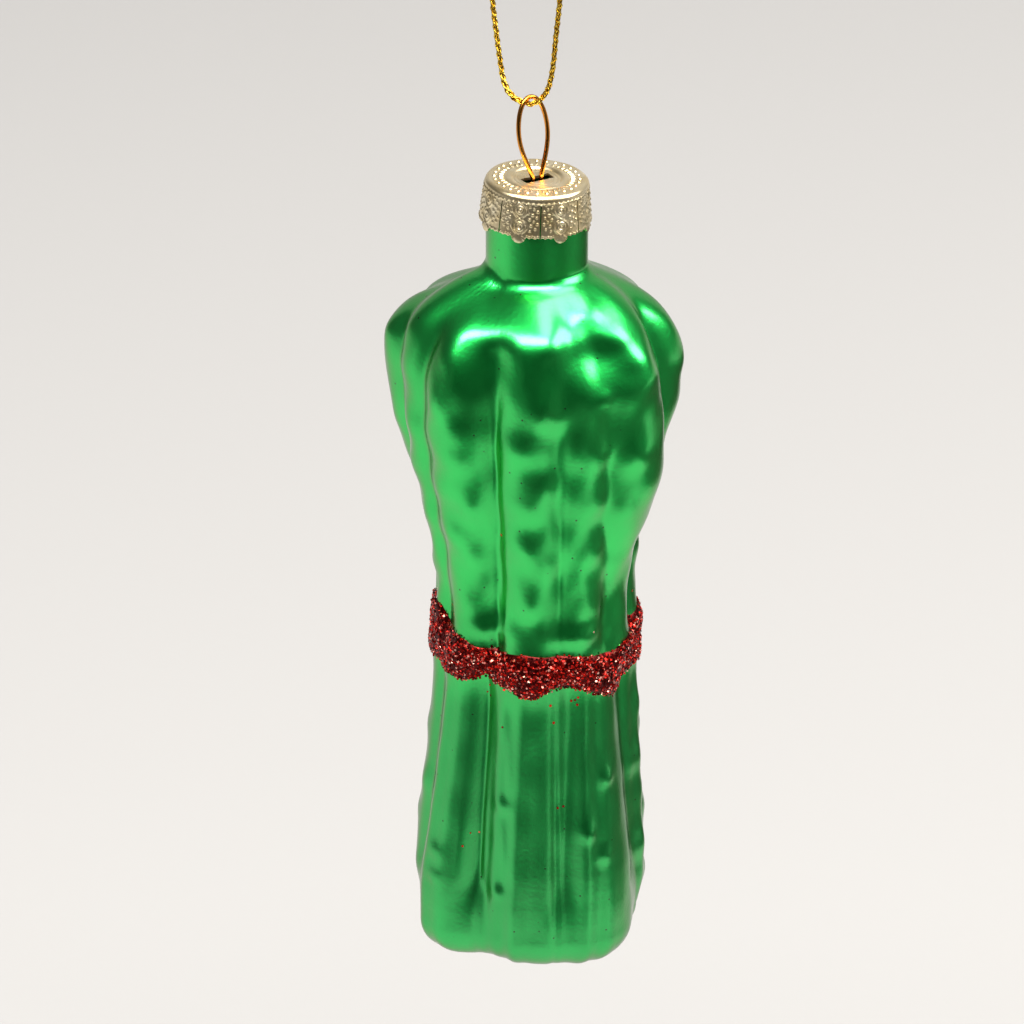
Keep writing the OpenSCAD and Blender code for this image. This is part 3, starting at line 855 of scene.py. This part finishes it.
def skin_radius(azimuth, t):
    """The bundle with its grooves filled, its strokes, warts and waves."""
    r = soft_bundle(azimuth, t)
    for at, level, height, wide, long in strokes:
        turn = (azimuth - at + 180) % 360 - 180
        across = np.radians(turn) * r / wide
        r = r + height * np.exp(-(across**2) - ((t - level) / long) ** 2)
    out = 0 * r
    for table, height, spread in (
        (warts, WART_H, WART_SPREAD), (small_warts, SMALL_WART_H, SMALL_WART_SPREAD),
    ):
        for at, level in table:
            turn = (azimuth - at + 180) % 360 - 180
            d2 = (np.radians(turn) * r) ** 2 + (t - level) ** 2
            near = d2 < (4 * spread) ** 2
            out = out + np.where(near, height * np.exp(-d2 / (2 * spread**2)), 0)
    wave = sum(
        h * np.sin(n * np.radians(azimuth) + 2 * math.pi * f * t + p)
        for n, f, p, h in mould_waves
    )
    ribs = sum(h * np.sin(n * np.radians(azimuth) + 0.06 * t + p) for n, p, h in mould_ribs)
    # fewer waves below the band, and none at the neck's root or under the band
    low = ease((t - WAIST_T) / 6)
    free = ease(t / 8) * (1 - np.exp(-(((t - WAIST_T) / 4.5) ** 2)))
    return r + (out + wave * (1 - 0.75 * low) + ribs * low) * free


waist = skin_radius(np.linspace(-180, 180, 73), np.full(73, WAIST_T))
print(f"radius at the waist: {waist.min():.2f} to {waist.max():.2f} mm")

# %% [markdown]
# ### From section to vessel
# The grid is rolled up from the middle of the foot, up the outside to the neck's rim, and down
# the inside, so that the glass is a real vessel with a wall. Hot glass makes no sharp corner, so
# the rings near the neck's root are averaged along each profile until the corner is a fillet.

# %% Rolling the glass
GLASS_COLUMNS = 288
GLASS_ROWS = {
    "sole": 10, "foot": 12, "side": 222, "neck": 24, "rim": 8, "bore": 8, "hollow": 42, "floor": 4,
}
WALL = 0.8
LIP = 0.3
SOLE_DENT = 0.7
FLOOR_T = 1.6
ROOT_ROUND = 1.2
ROOT_REACH = 2.6
SHOULDER_ROWS = 50
# how many rings of the shoulders can take part in the fillet
ROOT_ROWS = 40


def side_levels(count, shoulder_rows):
    """Levels from the foot up to the neck's root, closer together on the shoulders."""
    shoulder_t = 0.172 * BODY_H
    chest = np.linspace(BODY_H - FOOT_ROUND, shoulder_t, count - shoulder_rows + 1)
    shoulder = shoulder_t * np.linspace(1, 0, shoulder_rows + 1)[1:] ** 1.5
    return np.concatenate([chest, shoulder])


def soften_root(radii, levels):
    """Rounds the corner between neck and shoulders by averaging along each profile."""
    for k in range(radii.shape[1]):
        r, t = radii[:, k].copy(), levels[:, k].copy()
        along = np.concatenate([[0], np.cumsum(np.hypot(np.diff(r), np.diff(t)))])
        corner = along[np.nonzero(r > NECK_R + 0.15)[0][-1]]
        reach = ROOT_ROUND * np.exp(-(((along - corner) / ROOT_REACH) ** 2))
        for values, old in ((radii, r), (levels, t)):
            values[:, k] = sum(
                np.interp(along + d * reach, along, old) for d in np.linspace(-1, 1, 9)
            ) / 9


def glass_rings():
    """Every ring of the glass as (radii, levels) over all columns."""
    azimuth = np.linspace(-180, 180, GLASS_COLUMNS + 1)
    flat = np.zeros_like(azimuth)
    foot_t = BODY_H - FOOT_ROUND
    edge = skin_radius(azimuth, flat + foot_t)
    rings = []
    for s in np.linspace(0, 1, GLASS_ROWS["sole"] + 1):
        dent = SOLE_DENT * (1 - ease((s - 0.2) / 0.6))
        rings.append(((edge - FOOT_ROUND) * s, flat + BODY_H - dent))
    for q in np.linspace(0, math.pi / 2, GLASS_ROWS["foot"] + 1)[1:]:
        level = foot_t + FOOT_ROUND * math.cos(q)
        rings.append((edge - FOOT_ROUND * (1 - math.sin(q)), flat + level))
    for t in side_levels(GLASS_ROWS["side"], SHOULDER_ROWS)[1:]:
        rings.append((skin_radius(azimuth, flat + t), flat + t))
    first_soft = len(rings) - ROOT_ROWS
    top = LIP - NECK_H
    for s in np.linspace(0, 1, GLASS_ROWS["neck"] + 1)[1:] ** 1.8:
        level = top * s
        taper = ease((s - 0.6) / 0.3)
        rings.append((flat + NECK_R + (RIM_R - NECK_R) * taper, flat + level))
    radii, levels = np.array([r for r, t in rings]), np.array([t for r, t in rings])
    soften_root(radii[first_soft:], levels[first_soft:])
    rings = list(zip(radii, levels))
    middle = (RIM_R + BORE_R) / 2
    half = (RIM_R - BORE_R) / 2
    for q in np.linspace(0, math.pi, GLASS_ROWS["rim"] + 1)[1:]:
        rings.append((flat + middle + half * math.cos(q), flat + top - LIP * math.sin(q)))
    for s in np.linspace(0, 1, GLASS_ROWS["bore"] + 1)[1:]:
        rings.append((flat + BORE_R, flat + top * (1 - s)))
    for t in np.linspace(0.4, foot_t, GLASS_ROWS["hollow"]):
        # the wall is measured from the innermost skin near by, so that no groove pierces it
        near = [
            bundle_radius(azimuth + a, flat + max(0, t + b))
            for a in (-4, 0, 4) for b in (-1.2, 0, 1.2)
        ]
        rings.append((np.maximum(np.min(near, axis=0) - WALL - 0.3, BORE_R), flat + t))
    inner = rings[-1][0]
    for s in np.linspace(1, 0, GLASS_ROWS["floor"] + 1)[:-1]:
        rings.append(((inner - 2) * s, flat + BODY_H - FLOOR_T))
    rings.append((flat, flat + BODY_H - FLOOR_T))
    return np.array([r for r, t in rings]), np.array([t for r, t in rings]), azimuth


ring_radii, ring_levels, ring_azimuths = glass_rings()
glass_rows = len(ring_radii) - 1


def glass_place(u, v):
    """Where the grid's point lies on the rings, on the neck's axis."""
    column = np.round(u * GLASS_COLUMNS).astype(int)
    row = np.round(v * glass_rows).astype(int)
    a = np.radians(ring_azimuths[column])
    r = ring_radii[row, column]
    t = ring_levels[row, column]
    return np.stack([NECK_X + r * np.sin(a), NECK_Y - r * np.cos(a), ROOT_Z - t], 1)


glass = rolled("blown_glass", GLASS_COLUMNS, glass_rows, glass_place)
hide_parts("glass_body")
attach(glass, "glass")

# %% [markdown]
# ## The glitter band
# Clear glue is brushed around the ridge at the waist and coarse glitter is shaken on, so the
# band has a wavy, dripping edge and a rough, grainy face. The glue is one more rolled-up skin,
# laid on the skin of the glass, so that it follows each gherkin under it.

# %% The glue under the glitter
# azimuth in degrees and depth in millimetres of the band's upper and lower edge
upper_edge = [
    (-160, 49.6), (-140, 49.0), (-120, 49.8), (-104, 48.6), (-90, 47.2), (-80, 46.7), (-70, 46.8),
    (-63, 48.8), (-45, 49.2), (-37, 50.0), (-23, 50.3), (-7, 49.6), (3, 49.9), (24, 50.3),
    (38, 51.0), (48, 51.4), (57, 50.7), (84, 50.2), (105, 49.4), (125, 49.9), (145, 49.2),
    (170, 49.8),
]
lower_edge = [
    (-165, 55.2), (-148, 56.2), (-130, 54.9), (-112, 56.4), (-95, 55.1), (-76, 55.7), (-56, 55.1),
    (-46, 55.5), (-39, 55.1), (-35, 54.5), (-32, 53.9), (-28, 54.7), (-15, 55.1), (-8, 55.9),
    (-2, 56.2), (2, 55.6), (8, 54.6), (16, 54.7), (28, 55.7), (39, 57.0), (49, 58.0),
    (62, 57.6), (67, 56.2), (74, 55.7), (90, 56.3), (104, 55.0), (122, 55.9), (140, 55.0),
    (158, 56.4), (176, 55.1),
]
GLUE_T = 0.42
GLUE_SUNK = 0.12
# the share of the section that is its outer face
GLUE_FACE = 0.75


def edge_at(table, azimuth):
    """Depth of an edge at any azimuth."""
    at, level = np.array(table).T
    return np.interp(azimuth, at, level, period=360)


def on_skin(azimuth, t, out):
    """Points that stand out from the skin of the glass."""
    a = np.radians(azimuth)
    r = skin_radius(azimuth, t) + out
    return np.stack([NECK_X + r * np.sin(a), NECK_Y - r * np.cos(a), ROOT_Z - t], 1)


def glue_place(u, v):
    """Around the section: out over the face first, then back along the glass."""
    azimuth = u * 360 - 180
    up, down = edge_at(upper_edge, azimuth), edge_at(lower_edge, azimuth)
    outer = v < GLUE_FACE
    w = np.where(outer, v / GLUE_FACE * 2 - 1, 1 - (v - GLUE_FACE) / (1 - GLUE_FACE) * 2)
    t = (up + down) / 2 + (down - up) / 2 * w
    bulge = GLUE_T * np.sqrt(np.clip(1 - w**4, 0, 1))
    uneven = 0.09 * np.sin(np.radians(azimuth) * 17 + t * 2.1) * np.sin(t * 1.7 + azimuth * 0.11)
    return on_skin(azimuth, t, np.where(outer, bulge * (1 + uneven), -GLUE_SUNK))


glue = rolled("red_glitter_band", 240, 24, glue_place)

# %% [markdown]
# ### The flakes
# The grains are hexagons of foil, a third of a millimetre across, that lie at all angles on the
# glue. A particle system would do it by hand; here each flake gets a seeded place, turn, size
# and shade, so that the band comes out the same every time. A few fell on the bare glass. There
# are as many flakes as keep the band under 200,000 triangles.

# %% Where the flakes lie
FLAKES = 9350
FLAKE_R = 0.175
FLAKE_T = 0.035
FLAKE_TILT = 0.55
SPECK_TILT = 0.12
SPECK_LIFT = 0.03
band_rng = np.random.default_rng(7)
# single flakes on the bare glass: azimuth, depth
specks = [
    (-31.9, 56), (-31.5, 57.6), (-34.1, 57.2), (22.8, 57), (24.4, 56.6), (7.9, 57.1), (9.9, 59.8),
    (20.8, 57.1), (24, 57.7), (-21.8, 33.1), (-38.9, 78), (-36, 78.1), (-41.1, 79.8),
    (-33.5, 84.7), (12, 72.5), (15.4, 72.5), (-20, 61), (33, 47.2), (-60, 45.9), (140, 60),
    (-150, 44), (170, 68), (-100, 58.5), (88, 47),
]
azimuths = band_rng.uniform(-180, 180, FLAKES)
share = band_rng.beta(1.05, 1.05, FLAKES)
up, down = edge_at(upper_edge, azimuths), edge_at(lower_edge, azimuths)
fray = band_rng.normal(0, 0.16, FLAKES)
levels = up + (down - up) * share + fray
w = np.clip(np.abs(share * 2 - 1), 0, 1)
lift = GLUE_T * np.sqrt(1 - w**4) + band_rng.uniform(-0.04, 0.1, FLAKES)
azimuths = np.concatenate([azimuths, [s[0] for s in specks]])
levels = np.concatenate([levels, [s[1] for s in specks]])
lift = np.concatenate([lift, np.full(len(specks), SPECK_LIFT)])
tilt = np.concatenate([np.full(FLAKES, FLAKE_TILT), np.full(len(specks), SPECK_TILT)])
count = len(azimuths)
middle = on_skin(azimuths, levels, lift)
around = on_skin(azimuths + 1.5, levels, lift) - on_skin(azimuths - 1.5, levels, lift)
along = on_skin(azimuths, levels + 0.3, lift) - on_skin(azimuths, levels - 0.3, lift)
around /= np.linalg.norm(around, axis=1, keepdims=True)
normal = np.cross(along, around)
normal /= np.linalg.norm(normal, axis=1, keepdims=True)
normal *= np.sign(np.sum(normal * (middle - [NECK_X, NECK_Y, 0]) * [1, 1, 0], axis=1))[:, None]
normal += band_rng.normal(0, 1, (count, 3)) * tilt[:, None] * 0.7
normal /= np.linalg.norm(normal, axis=1, keepdims=True)
first = np.cross(normal, band_rng.normal(0, 1, (count, 3)))
first /= np.linalg.norm(first, axis=1, keepdims=True)
second = np.cross(normal, first)
print(FLAKES, "flakes on the glue and", len(specks), "on the bare glass")

# %% Copying the flake
deselect()
bpy.ops.mesh.primitive_cylinder_add(vertices=6, radius=1, depth=1, end_fill_type="NGON")
flake = bpy.context.object
flake_points = np.array([v.co for v in flake.data.vertices])
flake_faces = [list(p.vertices) for p in flake.data.polygons]
bpy.data.objects.remove(flake)
size = FLAKE_R * band_rng.uniform(0.72, 1.15, count)
corners = len(flake_points)
points = (
    middle[:, None, :]
    + flake_points[None, :, 0:1] * size[:, None, None] * first[:, None, :]
    + flake_points[None, :, 1:2] * size[:, None, None] * second[:, None, :]
    + flake_points[None, :, 2:3] * FLAKE_T * normal[:, None, :]
)
# the first and second axes and the normal are right-handed, so the faces keep their outside
faces = [[i * corners + k for k in face] for i in range(count) for face in flake_faces]
flake_mesh = bpy.data.meshes.new("flakes")
flake_mesh.from_pydata((points.reshape(-1, 3) * MM).tolist(), [], faces)
shade = flake_mesh.color_attributes.new("shade", "FLOAT_COLOR", "POINT")
# one random tone per flake: low tones are painted shade, middle ones the dye, the top ones painted
# flares
flake_dye_and_painted_light = np.repeat(band_rng.uniform(0, 1, count), corners)
shade.data.foreach_set("color", np.stack([flake_dye_and_painted_light, flake_dye_and_painted_light, flake_dye_and_painted_light, np.ones_like(flake_dye_and_painted_light)], 1).ravel())
flakes = bpy.data.objects.new("flakes", flake_mesh)
bpy.context.scene.collection.objects.link(flakes)
glue_shade = glue.data.color_attributes.new("shade", "FLOAT_COLOR", "POINT")
glue_shade.data.foreach_set("color", np.tile([0.1, 0.1, 0.1, 1.0], len(glue.data.vertices)))
make_active(glue)
flakes.select_set(True)
bpy.ops.object.join()
band = bpy.context.object
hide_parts("glitter_band")
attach(band, "glass")
print("band:", len(band.data.polygons), "faces,", count, "flakes")

# %% [markdown]
# ## Materials
# Each finish is named for the real one and keyed to what it does on the real object. Sizes of
# grain and pits are in millimetres, over object coordinates: a noise texture of scale 1 has
# features about a metre across, so 1000 over the size in millimetres gives the scale.

# %% [markdown]
# ### Green lacquer over silvered glass
# The glass is silvered inside and dipped in clear green lacquer, which makes a green mirror
# under a soft gloss. Metal with a coat does that: the coat gives the white highlights, the
# metal the green ones. Where the skin turns away, more lacquer lies in the light's way, so the
# edges go grey-brown: the metal's edge tint. The lacquer has an orange peel, half a millimetre
# from crest to crest, and a pinhole every few millimetres. From the band down its colour is
# painted darker, a painted shade for the darker reflections of the lower half.

# %% Patterns in millimetres
def grain(tree, size_mm, detail=2.0, kind="ShaderNodeTexNoise"):
    """A pattern whose features are about size_mm across, over object coordinates."""
    place = add_node(tree, "ShaderNodeTexCoord").outputs["Object"]
    inputs = {"Vector": place, "Scale": 1000.0 / size_mm}
    if kind == "ShaderNodeTexNoise":
        inputs["Detail"] = detail
    return add_node(tree, kind, inputs)


def bump(tree, height, distance_mm, strength=1.0):
    """The normal of a relief that is distance_mm high."""
    return add_node(tree, "ShaderNodeBump", {
        "Height": height, "Distance": distance_mm * MM, "Strength": strength,
    }).outputs["Normal"]


print("a grain of 2 mm has the scale", 1000.0 / 2)

# %% Green lacquer over silvered glass
# heights between which the colour is painted darker, a painted shade, in millimetres
PAINTED_SHADE_TOP, PAINTED_SHADE_FOOT = -115, -135
green, tree = new_material("green lacquer over silvered glass")
peel = grain(tree, 0.55, 3.0)
pits = grain(tree, 2.3, kind="ShaderNodeTexVoronoi")
pit = add_node(tree, "ShaderNodeMapRange", {
    "Value": pits.outputs["Distance"], "From Min": 0.03, "From Max": 0.075,
}).outputs["Result"]
clouds = grain(tree, 9.0, 3.0)
thick = add_node(tree, "ShaderNodeValToRGB", {"Fac": clouds.outputs["Fac"]})
set_ramp(thick, [(0.3, linear("#06C852")), (0.7, linear("#0ADA5C"))])
place = add_node(tree, "ShaderNodeTexCoord").outputs["Object"]
height = add_node(tree, "ShaderNodeSeparateXYZ", {"Vector": place}).outputs["Z"]
painted_shade_below_band = add_node(tree, "ShaderNodeMapRange", {
    "Value": height, "From Min": PAINTED_SHADE_TOP * MM, "From Max": PAINTED_SHADE_FOOT * MM,
}).outputs["Result"]
# the lacquer's colour times a pale grey from the band down: painted shade, dark to the foot
lacquer = add_node(tree, "ShaderNodeMix", {
    "Factor": painted_shade_below_band, "A": thick.outputs["Color"], "B": linear("#DFDDEA"),
}, data_type="RGBA", blend_type="MULTIPLY")
pitted = add_node(tree, "ShaderNodeMix", {
    "Factor": pit, "A": linear("#0B3A14"), "B": lacquer.outputs["Result"],
}, data_type="RGBA")
relief = add_node(tree, "ShaderNodeMath", {
    0: peel.outputs["Fac"], 1: pit,
}, operation="MULTIPLY")
shader = add_node(tree, "ShaderNodeBsdfPrincipled", {
    "Base Color": pitted.outputs["Result"],
    "Metallic": 1.0,
    "Roughness": 0.31,
    "Specular Tint": linear("#9A8A7C"),
    "Coat Weight": 1.0,
    "Coat Roughness": 0.24,
    "Coat IOR": 1.56,
    "Normal": bump(tree, relief.outputs["Value"], 0.026),
})
add_node(tree, "ShaderNodeOutputMaterial", {"Surface": shader.outputs["BSDF"]})
glass.data.materials.append(green)
print("glass lacquered")

# %% [markdown]
# ### Gold-lacquered tinplate, copper-gold wire and metal yarn
# The cap's lacquer is a pale champagne with a soft sheen and a faint rolling grain. The wire is
# drawn and brighter, and a little more orange. The cord's yarns are flat metallised film around a
# core, so they glint in small steps; their colour runs from a dark gold to a pale yellow, which is
# painted shade and painted glints over the gold. The grain and the steps are finer on the real
# pieces; here they are as coarse as they need to be to show.

# %% Champagne tinplate
tinplate, tree = new_material("champagne lacquered tinplate")
smear = grain(tree, 2.2, 4.0)
tint = add_node(tree, "ShaderNodeValToRGB", {"Fac": smear.outputs["Fac"]})
set_ramp(tint, [(0.3, linear("#E6D09C")), (0.7, linear("#F8ECCC"))])
fine = grain(tree, 0.25, 2.0)
shader = add_node(tree, "ShaderNodeBsdfPrincipled", {
    "Base Color": tint.outputs["Color"],
    "Metallic": 1.0,
    "Roughness": 0.34,
    "Normal": bump(tree, fine.outputs["Fac"], 0.006),
})
add_node(tree, "ShaderNodeOutputMaterial", {"Surface": shader.outputs["BSDF"]})
cap.data.materials.append(tinplate)
print("cap lacquered")

# %% Copper-gold wire and metal yarn
copper, tree = new_material("copper-gold spring wire")
shader = add_node(tree, "ShaderNodeBsdfPrincipled", {
    "Base Color": linear("#E2963A"), "Metallic": 1.0, "Roughness": 0.2,
})
add_node(tree, "ShaderNodeOutputMaterial", {"Surface": shader.outputs["BSDF"]})
wire.data.materials.append(copper)

yarn, tree = new_material("metallised gold yarn")
yarn_steps_and_painted_glints = grain(tree, 0.3, 2.0)
tint = add_node(tree, "ShaderNodeValToRGB", {"Fac": yarn_steps_and_painted_glints.outputs["Fac"]})
# the dark end of the ramp is painted shade and the pale end painted glints over the gold
set_ramp(tint, [(0.38, linear("#A87A14")), (0.6, linear("#FFDC58"))])
shader = add_node(tree, "ShaderNodeBsdfPrincipled", {
    "Base Color": tint.outputs["Color"],
    "Metallic": 1.0,
    "Roughness": 0.26,
    "Normal": bump(tree, yarn_steps_and_painted_glints.outputs["Fac"], 0.03),
})
add_node(tree, "ShaderNodeOutputMaterial", {"Surface": shader.outputs["BSDF"]})
for piece in (cord, knot):
    piece.data.materials.append(yarn)
print("wire and cord gilded")

# %% [markdown]
# ### Red glitter
# Foil cut into hexagons and dyed a deep red. The base colour of each flake comes from the
# attribute that was written with it: the reds are the dye, near black is painted shade where
# flakes lie in each other's shade, and a pale pink on a few is a painted flare of mirrored light.

# %% Red glitter
foil, tree = new_material("red foil glitter")
tone = add_node(tree, "ShaderNodeVertexColor", layer_name="shade")
tint = add_node(tree, "ShaderNodeValToRGB", {"Fac": tone.outputs["Color"]})
# near black is painted shade, the two reds are the dye, pale pink is a painted flare
set_ramp(tint, [
    (0.0, linear("#1E0103")),
    (0.5, linear("#8C120C")),
    (0.85, linear("#EA2216")),
    (0.985, linear("#FFC4B4")),
])
shader = add_node(tree, "ShaderNodeBsdfPrincipled", {
    "Base Color": tint.outputs["Color"],
    "Metallic": 0.85,
    "Roughness": 0.3,
})
add_node(tree, "ShaderNodeOutputMaterial", {"Surface": shader.outputs["BSDF"]})
band.data.materials.clear()
band.data.materials.append(foil)
print("glitter dyed")

# %% [markdown]
# ## The studio
# A green mirror shows what stands around it, so the studio is part of the finish. The ground is a
# pale sweep of paper that runs up behind the ornament. The glass mirrors the pale paper close by,
# which makes its bright zones. Farther in front the paper grows dark, and so do the parts of the
# glass that look that way.

# %% The paper sweep
FLOOR_Z = ROOT_Z - BODY_H - 120.0
FRONT_Y = -480.0
BEND_Y, BEND_R = 1100.0, 500.0
SWEEP_TOP = 1700.0
SWEEP_HALF = 1500.0
# the paper is dark in front of the first depth and pale behind the second
GRADE_Y = (-345, -200)
sweep_line = [(FRONT_Y, FLOOR_Z), (BEND_Y, FLOOR_Z)]
sweep_line += [
    (BEND_Y + BEND_R * math.sin(q), FLOOR_Z + BEND_R * (1 - math.cos(q)))
    for q in np.linspace(0, math.pi / 2, 16)[1:]
]
sweep_line += [(BEND_Y + BEND_R, SWEEP_TOP)]
sweep_mesh = bpy.data.meshes.new("paper sweep")
sweep_points = [(x, y, z) for x in (-SWEEP_HALF, SWEEP_HALF) for y, z in sweep_line]
n = len(sweep_line)
sweep_faces = [(i, i + n, i + n + 1, i + 1) for i in range(n - 1)]
sweep_mesh.from_pydata((np.array(sweep_points) * MM).tolist(), [], sweep_faces)
sweep = bpy.data.objects.new("paper sweep", sweep_mesh)
bpy.context.scene.collection.objects.link(sweep)
make_active(sweep)
bpy.ops.object.shade_smooth()
paper, tree = new_material("pale matt paper")
place = add_node(tree, "ShaderNodeTexCoord").outputs["Object"]
depth = add_node(tree, "ShaderNodeSeparateXYZ", {"Vector": place}).outputs["Y"]
grade = add_node(tree, "ShaderNodeMapRange", {
    "Value": depth, "From Min": GRADE_Y[0] * MM, "From Max": GRADE_Y[1] * MM,
}).outputs["Result"]
tint = add_node(tree, "ShaderNodeValToRGB", {"Fac": grade})
set_ramp(tint, [(0.0, linear("#393A3C")), (1.0, linear("#9B9C9F"))])
shader = add_node(tree, "ShaderNodeBsdfPrincipled", {
    "Base Color": tint.outputs["Color"], "Roughness": 0.9,
})
add_node(tree, "ShaderNodeOutputMaterial", {"Surface": shader.outputs["BSDF"]})
sweep.data.materials.append(paper)
print("paper from", FRONT_Y, "mm in front of the hook to", BEND_Y + BEND_R, "mm behind it")

# %% [markdown]
# ### Dark cards and cloths
# A photographer draws lines on a mirror with black card. The card that stands in front makes the
# dark zone over the bundle's middle, together with the cloth on the floor below it. A narrow
# strip in front of the foot draws the dark stripes on the lower stalks, and a cloth on the right
# darkens the right flanks.

# %% Dark cards and cloths
# name, middle, size in millimetres; the first stands upright, the others lie on the floor
UPRIGHT = (math.pi / 2, 0, 0)
FLAT = (0, 0, 0)
dark_things = [
    ("dark_card", (0, -800, 70), (1300, 760), UPRIGHT),
    ("dark_cloth", (0, -570, FLOOR_Z - 5), (3000, 480), FLAT),
    ("dark_strip_1", (0, -365, FLOOR_Z + 1), (230, 230), FLAT),
    ("dark_strip_2", (462, 15, FLOOR_Z + 1), (475, 970), FLAT),
]
deselect()
dark_pieces = []
for name, at, extent, turn in dark_things:
    bpy.ops.mesh.primitive_plane_add(size=1, location=Vector(at) * MM, rotation=turn)
    dark_pieces.append(bpy.context.object)
    bpy.context.object.name = name
    bpy.context.object.scale = (extent[0] * MM, extent[1] * MM, 1)
black, tree = new_material("black cloth")
shader = add_node(tree, "ShaderNodeBsdfPrincipled", {
    "Base Color": linear("#141414"), "Roughness": 0.8,
})
add_node(tree, "ShaderNodeOutputMaterial", {"Surface": shader.outputs["BSDF"]})
for piece in dark_pieces:
    piece.data.materials.append(black)
print(len(dark_pieces), "dark pieces around the ornament")

# %% [markdown]
# ### Light
# Three soft lamps make the highlights on the shoulders: a wide soft box high in front, a window
# on the right and a small skylight over the back. They are a little warm, and the paper a little
# cool, so the ground stays a neutral pale. The room itself adds a faint glow to the shadows.

# %% Lamps
LAMP_COLOUR = (1.0, 0.95, 0.87)


def soft_light(name, place, aim, size, power):
    """A rectangular lamp in metres and watts, turned toward its aim."""
    data = bpy.data.lights.new(name, "AREA")
    data.shape = "RECTANGLE"
    data.size, data.size_y = size
    data.energy = power
    data.color = LAMP_COLOUR
    lamp = bpy.data.objects.new(name, data)
    bpy.context.scene.collection.objects.link(lamp)
    lamp.location = place
    way = Vector(aim) - Vector(place)
    lamp.rotation_euler = way.to_track_quat("-Z", "Y").to_euler()
    return lamp


soft_light("soft box", (-0.25, -0.86, 1.45), (-0.25, 0, -0.12), (2.0, 0.7), 88.0)
soft_light("window", (1.78, -0.25, 1.2), (0, 0, -0.12), (1.5, 1.2), 60.0)
soft_light("skylight", (0.42, 0.06, 1.6), (0, 0, -0.12), (0.9, 0.7), 16.0)
world = bpy.data.worlds.new("room")
bpy.context.scene.world = world
world.use_nodes = True
world.node_tree.nodes.clear()
room = add_node(world.node_tree, "ShaderNodeBackground", {
    "Color": linear("#F2EFEC"), "Strength": 0.1,
})
add_node(world.node_tree, "ShaderNodeOutputWorld", {"Surface": room.outputs["Background"]})
print("three lamps lit")
